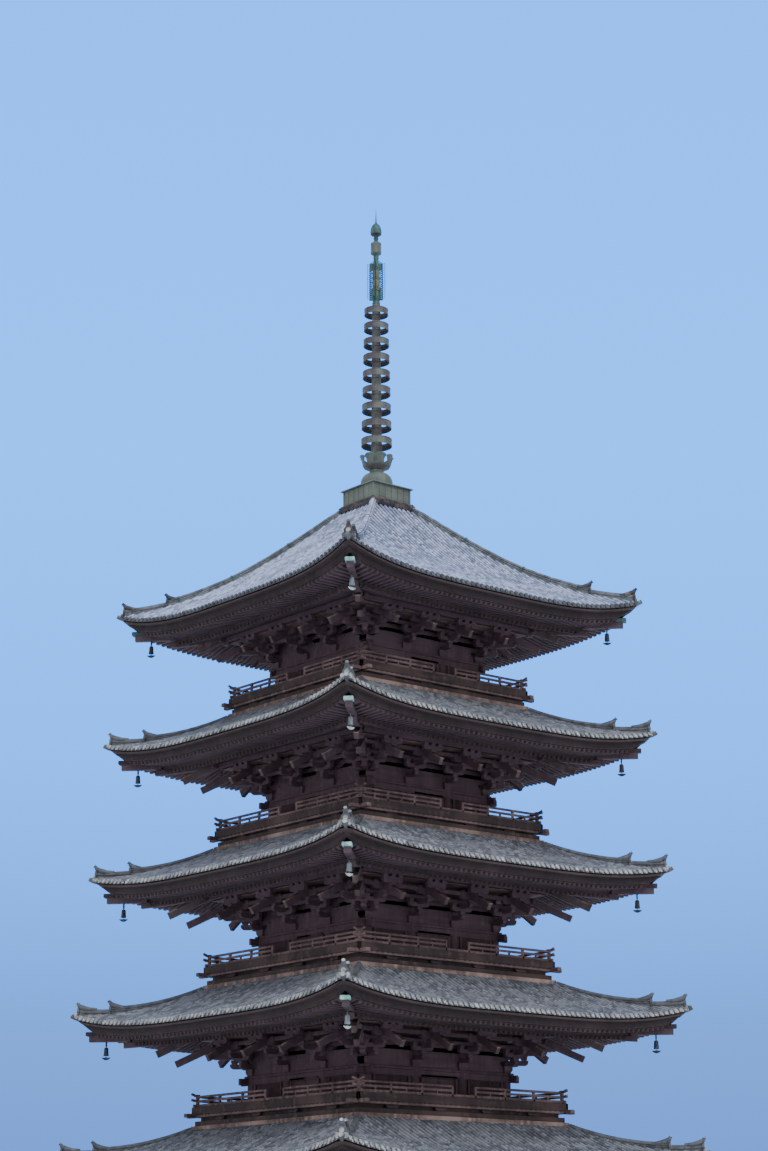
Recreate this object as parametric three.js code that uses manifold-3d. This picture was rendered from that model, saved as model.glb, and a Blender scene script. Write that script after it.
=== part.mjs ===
// A five-storey timber pagoda with a bronze spire, built as a half-size model.
// Every size below is the real building's, in metres; the root group turns them into
// model millimetres. The origin is on the ground under the spire, +Z is up and the
// front faces -Y.
import * as THREE from "three";
import { mergeVertices } from "three/addons/utils/BufferGeometryUtils.js";
import Module from "manifold-3d";

const wasm = await Module();
wasm.setup();

// Driving sizes
const MODEL_MM_PER_METRE = 500;
const GAP = 0.0006;
const STOREYS = 5;
const STOREY_RISE = 6.483;
const FIRST_CORNER_Z = 7.58;
const PODIUM_HEIGHT = 1.1;
const PODIUM_HALF = 7.1;
const SPIRE_TIP_Z = 54.9;
// Half widths from the lowest storey up: the wall, the tile corner and the railing's tip.
const WALL_HALF = [4.74, 4.4, 4.09, 3.8, 3.6];
const CORNER_HALF = [10.68, 10.25, 9.78, 9.4, 9.04];
const RAIL_TIP_HALF = [0, 6.2, 5.88, 5.58, 5.16];
const RAIL_TIP_OVER = 0.12;
const COLUMN_RADIUS = [0.27, 0.25, 0.24, 0.23, 0.22];

// How an eave's edge rises and reaches out towards its corners
const CORNER_LIFT = [0.74, 0.74, 0.61, 0.7, 0.86];
const CORNER_FLARE = 0.34;
const CORNER_BEND = 3.6;
const EDGE_STEPS = [-1, -0.8, -0.45, 0.45, 0.8];

// Roof build-up
const TILE_THICK = 0.24;
const TILE_EDGE = 0.16;
const LOWER_ROOF_RISE = [1.92, 1.92, 1.88, 1.98];
const LOWER_ROOF_SAG = 0.34;
const TOP_ROOF_RISE = 5.8;
const TOP_ROOF_SAG = 0.3;
const SPIRE_SEAT_HALF = 1.22;
const RIDGE_WIDTH = 0.3;
const RIDGE_HEIGHT = 0.34;
const RIDGE_LOW_HEIGHT = [0.23, 0.31];
const RIDGE_STEP_INSET = [1.48, 1.48, 1.55, 1.56, 1.88];
const RIDGE_ROOT_HEIGHT = 0.1;
const RAFTER_DROP = 0.74;
const FLYING_DROP = 0.58;
const FLYING_INSET = 0.42;
const RAFTER_SLOPE = 0.315;
const RAFTER_DEPTH = 0.28;

// Frame
const WALL_THICK = 0.2;
const BRACKET_STEP = 0.62;
const BRACKET_WIDTH = 0.26;
const PURLIN = 0.24;
const HEAD_BEAM = [0.42, 0.1];
const HEAD_BEAM_NOSE = [0.54, 0.54, 0.54, 0.54, 0.3];
// How far the sloping tail rafters reach past the outer purlin
const TAIL_REACH = [0.82, 0.82, 0.82, 0.7, 0.42];
const TAIL_END = [0.47, 0.82];
const CORNER_TAIL = { further: 0.58, end: [0.87, 1.19] };
const DOOR_WIDTH = 2.1;
const DOOR_HEIGHT = 2.75;
const SILL = 0.22;

// Balcony
const DECK_BELOW_CORNER = 4.15;
const DECK_THICK = 0.26;
const RAIL_INSET = 0.22;
const RAIL_THICK = 0.1;
const RAIL_GAP_HALF = 0.62;
const RAIL_HEIGHTS = [0.07, 0.47];

// Wind bells
const BELL_INSET = 1.17;
const BELL_PIN_DROP = [1.26, 1.26, 1.26, 1.26, 1.31];
const PIN_RADIUS = 0.015;
const EYE_CLEARANCE = 0.0001;
const LUG_THICK = 0.03;
const EAR_GAP = 0.036;
const EAR_THICK = 0.02;

const finish = (color, roughness, metalness = 0) =>
  new THREE.MeshStandardMaterial({ color, roughness, metalness });
const granite = finish(0xa9a59c, 0.9);
const darkTimber = finish(0x3a2a24, 0.85);
const wornTimber = finish(0x6a4a3c, 0.85);
const tile = finish(0x7d828a, 0.75);
const bronze = finish(0x75806f, 0.6, 0.4);
const bellBronze = finish(0x2e3436, 0.6, 0.5);

// Solids
function solid(geometry) {
  const bare = geometry.index ? geometry.toNonIndexed() : geometry.clone();
  for (const name of ["normal", "uv"]) bare.deleteAttribute(name);
  const merged = mergeVertices(bare, 1e-6);
  return new wasm.Manifold(
    new wasm.Mesh({
      numProp: 3,
      vertProperties: new Float32Array(merged.attributes.position.array),
      triVerts: new Uint32Array(merged.index.array),
    }),
  );
}

function joined(pieces) {
  return pieces.reduce((whole, piece) => whole.add(piece));
}

function geometryOf(made) {
  const { numProp, vertProperties, triVerts } = made.asOriginal().simplify(0.001).getMesh();
  const count = vertProperties.length / numProp;
  const points = new Float32Array(count * 3);
  for (let i = 0; i < count; i++) {
    points.set(vertProperties.subarray(i * numProp, i * numProp + 3), i * 3);
  }
  return new THREE.BufferGeometry()
    .setAttribute("position", new THREE.BufferAttribute(points, 3))
    .setIndex(new THREE.BufferAttribute(triVerts, 1));
}

function block(x, y, z) {
  const [low, high] = [0, 1].map((i) => [x[i], y[i], z[i]]);
  const size = high.map((v, i) => v - low[i]);
  const middle = high.map((v, i) => (v + low[i]) / 2);
  return solid(new THREE.BoxGeometry(...size).translate(...middle));
}

const slab = (half, z0, z1) => block([-half, half], [-half, half], [z0, z1]);

function squareRing(outer, inner, z0, z1) {
  return slab(outer, z0, z1).subtract(slab(inner, z0 - 1, z1 + 1));
}

function turned(piece, quarter) {
  return piece.rotate([0, 0, 90 * quarter]);
}

function onFourSides(piece) {
  return joined([0, 1, 2, 3].map((quarter) => turned(piece, quarter)));
}

// A flat plate whose outline is drawn in (distance from the axis, height), standing in a
// vertical plane that points along `degrees`, with its thickness centred on that plane.
function radialPlate(outline, thick, degrees) {
  const shape = new THREE.Shape(outline.map(([r, z]) => new THREE.Vector2(r, z)));
  const plate = new THREE.ExtrudeGeometry(shape, { depth: thick, bevelEnabled: false });
  plate.rotateX(Math.PI / 2).translate(0, thick / 2, 0);
  plate.rotateZ(THREE.MathUtils.degToRad(degrees));
  return solid(plate);
}

function lathe(profile, sides) {
  const points = profile.map(([r, z]) => new THREE.Vector2(r, z));
  return solid(new THREE.LatheGeometry(points, sides).rotateX(Math.PI / 2));
}

// One roof's surfaces. A profile point is (half width, height, share of the corner lift),
// and the point on side t of a face, from -1 to 1, moves up and out with a power of t.
function sweptRing(profile, rise = 0) {
  const sections = [];
  for (let side = 0; side < 4; side++) {
    const turn = new THREE.Matrix4().makeRotationZ((Math.PI / 2) * side);
    for (const t of EDGE_STEPS) {
      const bend = Math.abs(t) ** CORNER_BEND;
      sections.push(
        profile.map(([half, z, lift]) =>
          new THREE.Vector3(
            t * (half + CORNER_FLARE * lift),
            -(half + CORNER_FLARE * lift * bend),
            z + rise * lift * bend,
          ).applyMatrix4(turn),
        ),
      );
    }
  }
  const points = sections.flat().flatMap((p) => [p.x, p.y, p.z]);
  const size = profile.length;
  const faces = [];
  for (let s = 0; s < sections.length; s++) {
    const here = s * size;
    const next = ((s + 1) % sections.length) * size;
    for (let i = 0; i < size; i++) {
      const j = (i + 1) % size;
      // The same diagonal on both sides of a joint keeps its two faces parallel.
      if (profile[j][0] >= profile[i][0]) {
        faces.push(here + i, next + i, next + j, here + i, next + j, here + j);
      } else {
        faces.push(here + i, next + i, here + j, next + i, next + j, here + j);
      }
    }
  }
  const geometry = new THREE.BufferGeometry();
  geometry.setAttribute("position", new THREE.Float32BufferAttribute(points, 3));
  return solid(geometry.setIndex(faces));
}

// Where everything on storey k lies
function levels(k) {
  const top = k === STOREYS - 1;
  const wall = WALL_HALF[k];
  const cornerZ = FIRST_CORNER_Z + k * STOREY_RISE;
  const eaveHalf = CORNER_HALF[k] - CORNER_FLARE;
  const eaveZ = cornerZ - CORNER_LIFT[k];
  const columnHalf = wall - COLUMN_RADIUS[k];
  const purlinHalf = columnHalf + 3 * BRACKET_STEP;
  const purlinEdge = purlinHalf + PURLIN / 2;
  const rafterTip = eaveHalf - 1.7;
  const rafterZ = (half) => eaveZ - RAFTER_DROP + RAFTER_SLOPE * (rafterTip - half);
  const innerHalf = columnHalf - WALL_THICK / 2;
  const baseHalf = top ? SPIRE_SEAT_HALF : RAIL_TIP_HALF[k + 1] - 0.08;
  const rise = top ? TOP_ROOF_RISE : LOWER_ROOF_RISE[k];
  const sag = top ? TOP_ROOF_SAG : LOWER_ROOF_SAG;
  const liftFrom = top ? eaveHalf - 4.8 : baseHalf;
  const tileZ = (half) => {
    let s = (half - baseHalf) / (eaveHalf - baseHalf);
    // It flattens behind the balcony's skirt, where it isn't seen.
    if (s < 0) s *= 0.3;
    return eaveZ + TILE_EDGE + rise * (1 - s) * (1 - sag * Math.max(s, 0));
  };
  const tileLift = (half) => Math.max(0, (half - liftFrom) / (eaveHalf - liftFrom)) ** 2;
  const rafterLift = (half) =>
    Math.max(0, (half - purlinEdge) / (eaveHalf - purlinEdge)) ** 2;
  return {
    top, wall, cornerZ, eaveHalf, eaveZ, columnHalf, purlinHalf, purlinEdge, rafterTip, rafterZ,
    innerHalf, baseHalf, tileZ, tileLift, rafterLift, cornerLift: CORNER_LIFT[k],
    outerHalf: columnHalf + WALL_THICK / 2,
    deckZ: cornerZ - DECK_BELOW_CORNER,
    floorZ: (k ? cornerZ - DECK_BELOW_CORNER : PODIUM_HEIGHT) + GAP,
    columnTopZ: cornerZ - 2.76,
    columnSpots: [-columnHalf, -columnHalf / 3, columnHalf / 3, columnHalf],
  };
}

const storeys = Array.from({ length: STOREYS }, (_, k) => levels(k));

// Podium: plinth, panels and top stones, with a flight of five steps on each side
function podium() {
  const plinth = slab(PODIUM_HALF, 0, 0.16);
  const panels = slab(PODIUM_HALF - 0.15, 0.1, PODIUM_HEIGHT - 0.1);
  const topStones = slab(PODIUM_HALF, PODIUM_HEIGHT - 0.24, PODIUM_HEIGHT);
  const steps = 5;
  const riser = PODIUM_HEIGHT / steps;
  const tread = 0.36;
  const outline = [[PODIUM_HALF - 0.3, 0]];
  for (let i = 0; i < steps; i++) {
    const reach = PODIUM_HALF + tread * (steps - 1 - i);
    outline.push([reach, riser * i], [reach, riser * (i + 1)]);
  }
  outline.push([PODIUM_HALF - 0.3, PODIUM_HEIGHT]);
  const foot = PODIUM_HALF + tread * (steps - 1) + 0.1;
  const cheekOutline = [
    [PODIUM_HALF - 0.3, 0],
    [foot, 0],
    [foot, riser * 1.1],
    [PODIUM_HALF + 0.1, PODIUM_HEIGHT],
    [PODIUM_HALF - 0.3, PODIUM_HEIGHT],
  ];
  const flight = joined([
    radialPlate(outline, 3.2, 0),
    radialPlate(cheekOutline, 0.28, 0).translate([0, 1.72, 0]),
    radialPlate(cheekOutline, 0.28, 0).translate([0, -1.72, 0]),
  ]);
  return joined([plinth, panels, topStones, onFourSides(flight)]);
}

// Walls: a square shell with round columns, its sill and head beams and, on the ground
// storey, a doorway in the middle of each side
function walls(k) {
  const s = storeys[k];
  const shellTop = Math.min(s.tileZ(s.innerHalf), s.tileZ(s.outerHalf)) - TILE_THICK - GAP;
  const parts = [squareRing(s.outerHalf, s.innerHalf, s.floorZ, shellTop)];
  const columnEnd = s.columnTopZ - 0.01;
  const column = solid(
    new THREE.CylinderGeometry(COLUMN_RADIUS[k], COLUMN_RADIUS[k], columnEnd - s.floorZ, 8, 1)
      .rotateX(Math.PI / 2)
      .rotateZ(Math.PI / 8)
      .translate(0, -s.columnHalf, (columnEnd + s.floorZ) / 2),
  );
  for (let quarter = 0; quarter < 4; quarter++) {
    for (const x of s.columnSpots.slice(0, 3)) {
      parts.push(turned(column.translate([x, 0, 0]), quarter));
    }
  }
  const beamOut = s.wall + 0.02;
  const reach = s.wall + HEAD_BEAM_NOSE[k];
  const headBeam = block(
    [-reach, reach], [-beamOut, -s.innerHalf], HEAD_BEAM.map((drop) => s.columnTopZ - drop),
  );
  parts.push(onFourSides(headBeam));
  if (k === 0) parts.push(squareRing(beamOut, s.innerHalf, s.floorZ, s.floorZ + SILL));
  let made = joined(parts).subtract(slab(s.innerHalf, s.floorZ - 1, shellTop + 1));
  if (k === 0) {
    const way = block(
      [-DOOR_WIDTH / 2, DOOR_WIDTH / 2], [-s.wall - 1, -s.innerHalf + 0.5],
      [s.floorZ + SILL, s.floorZ + SILL + DOOR_HEIGHT],
    );
    for (let quarter = 0; quarter < 4; quarter++) made = made.subtract(turned(way, quarter));
  }
  return made;
}

// A closed pair of plank leaves in its frame, in the ground storey's doorway
function door() {
  const s = storeys[0];
  const half = DOOR_WIDTH / 2 - GAP;
  const bottom = s.floorZ + SILL;
  const top = bottom + DOOR_HEIGHT - GAP;
  const post = 0.14;
  const face = -s.columnHalf;
  const frame = block([-half, half], [face - 0.1, face + 0.06], [bottom, top]);
  const opening = block(
    [-half + post, half - post], [face - 1, face + 1], [bottom + post / 2, top - post],
  );
  const leaves = block([-half + 0.05, half - 0.05], [face - 0.04, face + 0.02], [bottom, top]);
  const meeting = block([-0.006, 0.006], [face - 1, face - 0.01], [bottom + post / 2, top - post]);
  return frame.subtract(opening).add(leaves).subtract(meeting);
}

// Brackets: twelve three-stepped arms with sloping tail rafters, tied by two ring beams
function brackets(k) {
  const s = storeys[k];
  const foot = s.columnTopZ;
  const seat = s.rafterZ(s.purlinEdge) - GAP;
  const [one, two, three] = [1, 2, 3].map((n) => s.columnHalf + n * BRACKET_STEP);
  const start = s.outerHalf - 0.05;
  const tail = three + TAIL_REACH[k];
  const [tailLow, tailHigh] = TAIL_END.map((z) => foot + z);
  const outline = [
    [start, foot + 0.02],
    [one + 0.17, foot + 0.02],
    [one + 0.17, foot + 0.5],
    [two + 0.17, foot + 0.82],
    [tail, tailLow],
    [tail, tailHigh],
    [three + 0.1, seat - 0.1],
    [start, seat - 0.1],
  ];
  const arm = radialPlate(outline, BRACKET_WIDTH, -90);
  const corner = radialPlate(
    outline.map(([r, z]) => [(r - 0.06) * Math.SQRT2, z]), BRACKET_WIDTH + 0.04, -45,
  );
  // The second tail rafter on the diagonal, over the first and further out
  const upper = [
    [three - 0.2, foot + 1.1],
    [tail + CORNER_TAIL.further, foot + CORNER_TAIL.end[0]],
    [tail + CORNER_TAIL.further, foot + CORNER_TAIL.end[1]],
    [three + 0.45, seat - 0.2],
    [three - 0.2, seat - 0.15],
  ];
  const second = radialPlate(upper.map(([r, z]) => [r * Math.SQRT2, z]), 0.24, -45);
  const parts = [
    squareRing(three + PURLIN / 2, three - PURLIN / 2, seat - PURLIN, seat),
  ];
  for (const x of s.columnSpots.slice(1, 3)) {
    parts.push(onFourSides(arm.translate([x, 0, 0])));
  }
  parts.push(onFourSides(corner.add(second)));
  const wallRoom = slab(s.outerHalf + GAP, s.floorZ, s.cornerZ + 2);
  return joined(parts).subtract(wallRoom);
}

// Where a point of a roof profile lies on the corner's diagonal
const onDiagonal = (s, [half, z, lift]) => [
  (half + CORNER_FLARE * lift) * Math.SQRT2,
  z + s.cornerLift * lift,
];

// The lifted underside of the tiles where they bear on the eaves
function bearing(s, drop) {
  return [s.eaveHalf - 0.05, s.eaveHalf - 0.45].map((half) => [
    half, s.tileZ(half) - TILE_EDGE - drop, s.tileLift(half),
  ]);
}

// Eaves: two tiers of rafters as one warped plate, the four hip rafters under it and, near
// the tip of each, two ears and a pin for the bell
function eaves(k) {
  const s = storeys[k];
  const inner = s.outerHalf + GAP;
  const point = (half, z) => [half, z, s.rafterLift(half)];
  const profile = [
    point(inner, s.rafterZ(inner)),
    point(s.purlinEdge, s.rafterZ(s.purlinEdge)),
    point(s.rafterTip, s.rafterZ(s.rafterTip)),
    point(s.eaveHalf - FLYING_INSET, s.eaveZ - FLYING_DROP),
    ...bearing(s, GAP),
    point(s.purlinEdge, s.rafterZ(s.purlinEdge) + RAFTER_DEPTH),
    point(inner, s.rafterZ(inner) + RAFTER_DEPTH),
  ];
  const under = (half, depth) => onDiagonal(s, point(half, s.rafterZ(half) - depth));
  const flying = (inset, depth) => {
    const half = s.eaveHalf - inset;
    return onDiagonal(s, point(half, s.eaveZ - FLYING_DROP - depth));
  };
  // The last two points over the beam's end are its green cap.
  const beam = [
    under(s.purlinHalf + 0.3, 0.06),
    under(s.rafterTip + 0.15, 0.12),
    under(s.rafterTip + 0.15, -0.06),
    flying(0.5, 0.31),
    flying(0.47, 0.08),
    flying(0.3, 0.07),
    flying(0.3, -0.08),
    under(s.purlinHalf + 0.3, -0.1),
  ];
  const parts = [sweptRing(profile, s.cornerLift)];
  const pin = bellPin(k);
  const beamZ = beamBottom(k);
  const ear = [
    [pin.reach - 0.036, pin.z - 0.036],
    [pin.reach + 0.036, pin.z - 0.036],
    [pin.reach + 0.036, beamZ + 0.08],
    [pin.reach - 0.036, beamZ + 0.08],
  ];
  const earShift = (EAR_GAP + EAR_THICK) / 2;
  const rod = new THREE.CylinderGeometry(PIN_RADIUS, PIN_RADIUS, EAR_GAP + EAR_THICK, 8)
    .rotateY(Math.PI / 8)
    .translate(pin.reach, 0, 0);
  const hanger = joined([
    radialPlate(ear, EAR_THICK, 0).translate([0, earShift, 0]),
    radialPlate(ear, EAR_THICK, 0).translate([0, -earShift, 0]),
    solid(rod).translate([0, 0, pin.z]),
  ]).rotate([0, 0, 45]);
  parts.push(onFourSides(radialPlate(beam, 0.3, 45)), onFourSides(hanger));
  return joined(parts);
}

// The hip rafter's underside above the bell's pin
function beamBottom(k) {
  const s = storeys[k];
  const pin = bellPin(k);
  const inner = onDiagonal(s, [
    s.rafterTip + 0.15, s.rafterZ(s.rafterTip + 0.15) + 0.06, s.rafterLift(s.rafterTip + 0.15),
  ]);
  const outer = onDiagonal(s, [
    s.eaveHalf - 0.5, s.eaveZ - FLYING_DROP - 0.31, s.rafterLift(s.eaveHalf - 0.5),
  ]);
  const share = (pin.reach - inner[0]) / (outer[0] - inner[0]);
  return inner[1] + share * (outer[1] - inner[1]);
}

function bellPin(k) {
  return {
    reach: (CORNER_HALF[k] - BELL_INSET) * Math.SQRT2,
    z: storeys[k].cornerZ - BELL_PIN_DROP[k],
  };
}

// Tiles: a curved shell with two-stepped ridges along its hips
function tiles(k) {
  const s = storeys[k];
  const point = (half, drop = 0) => [half, s.tileZ(half) - drop, s.tileLift(half)];
  const [outerBearing, innerBearing] = bearing(s, 0);
  const inner = s.top ? SPIRE_SEAT_HALF - 0.5 : s.innerHalf;
  const shares = s.top ? [0.25, 0.5, 0.75] : [0.48];
  const span = s.eaveHalf - s.baseHalf;
  const seatZ = s.tileZ(s.baseHalf);
  const profile = [
    s.top ? [inner, seatZ - TILE_THICK, 0] : point(inner, TILE_THICK),
    s.top ? [s.baseHalf, seatZ - TILE_THICK, 0] : point(s.baseHalf, TILE_THICK),
    ...shares.map((share) => point(s.baseHalf + span * share, TILE_THICK)),
    innerBearing,
    outerBearing,
    point(s.eaveHalf, TILE_EDGE),
    point(s.eaveHalf),
    ...shares.map((share) => point(s.baseHalf + span * share)).reverse(),
    point(s.baseHalf),
    s.top ? [inner, seatZ, 0] : point(inner),
  ];
  const shell = sweptRing(profile, s.cornerLift);
  const tip = CORNER_HALF[k];
  const ridgeStart = s.baseHalf + (s.top ? -0.02 : 0.02);
  const ridgeStep = tip - RIDGE_STEP_INSET[k];
  const ridgeEnd = s.eaveHalf - 0.06;
  const surface = (half, height) => onDiagonal(s, point(half, -height));
  const crest = [];
  const stretch = ridgeStep - 0.25 - ridgeStart;
  const bends = s.top ? 4 : 2;
  const root = s.top ? RIDGE_HEIGHT : RIDGE_ROOT_HEIGHT;
  for (let i = 0; i <= bends; i++) {
    const height = root + ((RIDGE_HEIGHT - root) * i) / bends;
    crest.push(surface(ridgeStart + (stretch * i) / bends, height));
  }
  crest.push(
    surface(ridgeStep - 0.06, RIDGE_HEIGHT + 0.32),
    surface(ridgeStep - 0.06, RIDGE_LOW_HEIGHT[0]),
    surface(ridgeEnd - 0.4, RIDGE_LOW_HEIGHT[1]),
    surface(ridgeEnd, RIDGE_LOW_HEIGHT[1] + 0.3),
    surface(ridgeEnd - 0.06, -0.05),
  );
  const foot = [0.8, 0.55, 0.25].map((share) =>
    surface(ridgeStart + (ridgeEnd - ridgeStart) * share, -0.1),
  );
  const ridge = radialPlate([...crest, ...foot, surface(ridgeStart, -0.1)], RIDGE_WIDTH, 45);
  const parts = [shell, onFourSides(ridge)];
  // A band of ornamental tiles round the foot of the spire's box
  if (s.top) parts.push(squareRing(1.36, 1.2, s.tileZ(1.36) - 0.08, seatZ + 0.32));
  return joined(parts);
}

// Balcony deck: the floor slab, its crossing beams and the low skirt that stands on the roof
function deck(k) {
  const s = storeys[k];
  const below = storeys[k - 1];
  const railHalf = RAIL_TIP_HALF[k] - RAIL_INSET;
  const slabHalf = railHalf + 0.2;
  const z = s.deckZ;
  const beamTop = z - DECK_THICK;
  const beamReach = slabHalf + 0.46;
  const skirtOut = slabHalf - 0.06;
  const skirtIn = skirtOut - 0.28;
  const beam = block(
    [-beamReach, beamReach], [-slabHalf + 0.06, -slabHalf + 0.3], [beamTop - 0.23, beamTop + 0.05],
  );
  const skirt = sweptRing([
    [skirtIn, below.tileZ(skirtIn) + GAP, 0],
    [skirtOut, below.tileZ(skirtOut) + GAP, 0],
    [skirtOut, beamTop + 0.05, 0],
    [skirtIn, beamTop + 0.05, 0],
  ]);
  return joined([slab(slabHalf, beamTop, z), onFourSides(beam), skirt]);
}

// Railing: the sill rail and the upturned top rail, which is open mid-side
function railing(k) {
  const railHalf = RAIL_TIP_HALF[k] - RAIL_INSET;
  const base = storeys[k].floorZ;
  const tip = RAIL_TIP_HALF[k] + RAIL_TIP_OVER;
  const half = RAIL_THICK / 2;
  const [low, high] = RAIL_HEIGHTS.map((h) => base + h);
  const across = [-railHalf - half, -railHalf + half];
  const parts = [];
  for (const side of [-1, 1]) {
    const curve = [
      [side * RAIL_GAP_HALF, high - 0.04],
      [side * (railHalf - 0.35), high - 0.04],
      [side * tip, high + 0.06],
      [side * tip, high + 0.14],
      [side * (railHalf - 0.35), high + 0.04],
      [side * RAIL_GAP_HALF, high + 0.04],
    ];
    if (side < 0) curve.reverse();
    parts.push(radialPlate(curve, RAIL_THICK, 0).translate([0, -railHalf, 0]));
    for (const x of [RAIL_GAP_HALF + 0.06]) {
      const at = side * x;
      parts.push(
        block([at - 0.05, at + 0.05], [-railHalf - 0.045, -railHalf + 0.045], [base, high]),
      );
    }
  }
  parts.push(
    block([railHalf - 0.07, railHalf + 0.07], [-railHalf - 0.07, -railHalf + 0.07],
      [base, high + 0.09]),
  );
  const sillRail = squareRing(railHalf + half, railHalf - half, base, low + 0.06);
  return onFourSides(joined(parts)).add(sillRail);
}

// Spire, from the dew basin up
const SPIRE = {
  seatZ: storeys[STOREYS - 1].tileZ(SPIRE_SEAT_HALF),
  plateZ: 39.68,
  bowlZ: 39.76,
  flowerZ: 40.78,
  ringsZ: 41.62,
  flameZ: 49.62,
  wheelZ: 52.05,
};
const RING_COUNT = 9;
const RING_TOP_Z = 49.35;
// The rings stand a little further apart down the mast.
const RING_PITCH = 0.82;
const RING_SPREAD = 0.006;

function spireBox() {
  const body = slab(1.18, SPIRE.seatZ + GAP, SPIRE.plateZ + 0.02);
  return body.add(slab(1.28, SPIRE.plateZ, SPIRE.bowlZ - GAP));
}

function spireBowl() {
  const tall = SPIRE.flowerZ - SPIRE.bowlZ - GAP;
  return lathe([
    [0, 0], [0.8, 0], [0.79, 0.42], [0.69, 0.67], [0.42, 0.85], [0.35, tall], [0, tall],
  ], 12).translate([0, 0, SPIRE.bowlZ]);
}

function spireFlower() {
  const tall = SPIRE.ringsZ - SPIRE.flowerZ - GAP;
  const cup = lathe([
    [0, 0], [0.36, 0], [0.64, 0.16], [0.3, 0.22], [0.28, tall], [0, tall],
  ], 12);
  const petal = radialPlate(
    [[0.52, 0.1], [0.64, 0.13], [0.74, 0.36], [0.86, 0.72], [0.79, 0.73], [0.68, 0.4]], 0.4, 0,
  );
  const parts = [cup];
  for (let i = 0; i < 8; i++) parts.push(petal.rotate([0, 0, 45 * i + 22.5]));
  return joined(parts).translate([0, 0, SPIRE.flowerZ]);
}

function spireRings() {
  const mastTop = SPIRE.flameZ;
  const parts = [lathe([[0, SPIRE.ringsZ], [0.27, SPIRE.ringsZ], [0.18, mastTop], [0, mastTop]], 10)];
  for (let i = 0; i < RING_COUNT; i++) {
    const share = i / (RING_COUNT - 1);
    const radius = 0.6 + 0.163 * share;
    const height = 0.31 + 0.06 * share;
    const top = RING_TOP_Z - RING_PITCH * i - RING_SPREAD * i * i;
    parts.push(
      lathe([
        [radius - 0.05, top - height], [radius, top - height], [radius, top], [radius - 0.05, top],
        [radius - 0.05, top - height],
      ], 12),
    );
    const mid = top - height / 2;
    const spoke = block([-radius + 0.02, radius - 0.02], [-0.03, 0.03], [mid - 0.05, mid + 0.05]);
    parts.push(spoke.rotate([0, 0, i % 2 ? 90 : 0]));
  }
  return joined(parts);
}

function spireFlame() {
  const tall = SPIRE.wheelZ - SPIRE.flameZ;
  const stem = lathe([[0, 0], [0.19, 0], [0.17, 2.1], [0.125, 2.2], [0.125, tall], [0, tall]], 10);
  const blade = radialPlate([
    [0.05, 0.1], [0.2, 0.2], [0.44, 0.26], [0.5, 0.5], [0.5, 1.8], [0.42, 2.15], [0.3, 2.3],
    [0.22, 2.15], [0.05, 2.1],
  ], 0.03, 0);
  const parts = [stem];
  for (let i = 0; i < 4; i++) parts.push(blade.rotate([0, 0, 90 * i + 45]));
  return joined(parts).translate([0, 0, SPIRE.flameZ]);
}

function spireJewel() {
  const base = SPIRE.wheelZ;
  return lathe([
    [0, base], [0.13, base], [0.13, 52.38], [0.24, 52.42], [0.26, 52.72], [0.24, 53.02],
    [0.11, 53.06], [0.11, 53.36], [0.26, 53.42], [0.29, 53.66], [0.06, 54.08], [0, SPIRE_TIP_Z],
  ], 10);
}

// A long bell with a wind plate under it, drawn about its pin; plateTurn is in degrees
function bell(plateTurn) {
  const body = lathe([
    [0, -0.47], [0.128, -0.47], [0.114, -0.33], [0.102, -0.14], [0.07, -0.085], [0, -0.085],
  ], 6);
  const lug = [];
  for (let i = 0; i <= 4; i++) {
    const angle = (Math.PI * i) / 4;
    lug.push([0.034 * Math.cos(angle), 0.034 * Math.sin(angle)]);
  }
  lug.push([-0.034, -0.15], [0.034, -0.15]);
  // The eye's flats face the pin's edges, so it turns about the pin with the same clearance.
  const eyeRadius = (PIN_RADIUS + EYE_CLEARANCE) / Math.cos(Math.PI / 8);
  const eye = solid(new THREE.CylinderGeometry(eyeRadius, eyeRadius, 1, 8));
  const windPlate = radialPlate([
    [-0.012, -0.45], [-0.03, -0.53], [-0.2, -0.54], [-0.21, -0.59], [0, -0.67], [0.21, -0.59],
    [0.2, -0.54], [0.03, -0.53], [0.012, -0.45],
  ], 0.025, 0).rotate([0, 0, plateTurn]);
  return joined([body, radialPlate(lug, LUG_THICK, 0), windPlate]).subtract(eye);
}

// Assembly
const pagoda = new THREE.Group();
pagoda.scale.setScalar(MODEL_MM_PER_METRE);

function place(name, made, material, parent = pagoda) {
  const mesh = new THREE.Mesh(geometryOf(made), material);
  mesh.name = name;
  parent.add(mesh);
  return mesh;
}

place("podium", podium(), granite);
const SIDES = ["front", "right", "back", "left"];
SIDES.forEach((side, quarter) => place(`door_${side}`, turned(door(), quarter), darkTimber));

for (let k = 0; k < STOREYS; k++) {
  const n = k + 1;
  place(`storey_${n}_walls`, walls(k), darkTimber);
  place(`storey_${n}_brackets`, brackets(k), darkTimber);
  place(`storey_${n}_eaves`, eaves(k), darkTimber);
  place(`roof_${n}_tiles`, tiles(k), tile);
  if (k > 0) {
    place(`balcony_${n}_deck`, deck(k), wornTimber);
    place(`balcony_${n}_railing`, railing(k), wornTimber);
  }
}

place("spire_box", spireBox(), bronze);
place("spire_bowl", spireBowl(), bronze);
place("spire_flower", spireFlower(), bronze);
place("spire_rings", spireRings(), bronze);
place("spire_flame", spireFlame(), bronze);
place("spire_jewel", spireJewel(), bronze);

const CORNERS = ["back_right", "back_left", "front_left", "front_right"];
const oneBell = bell(0);
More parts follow.
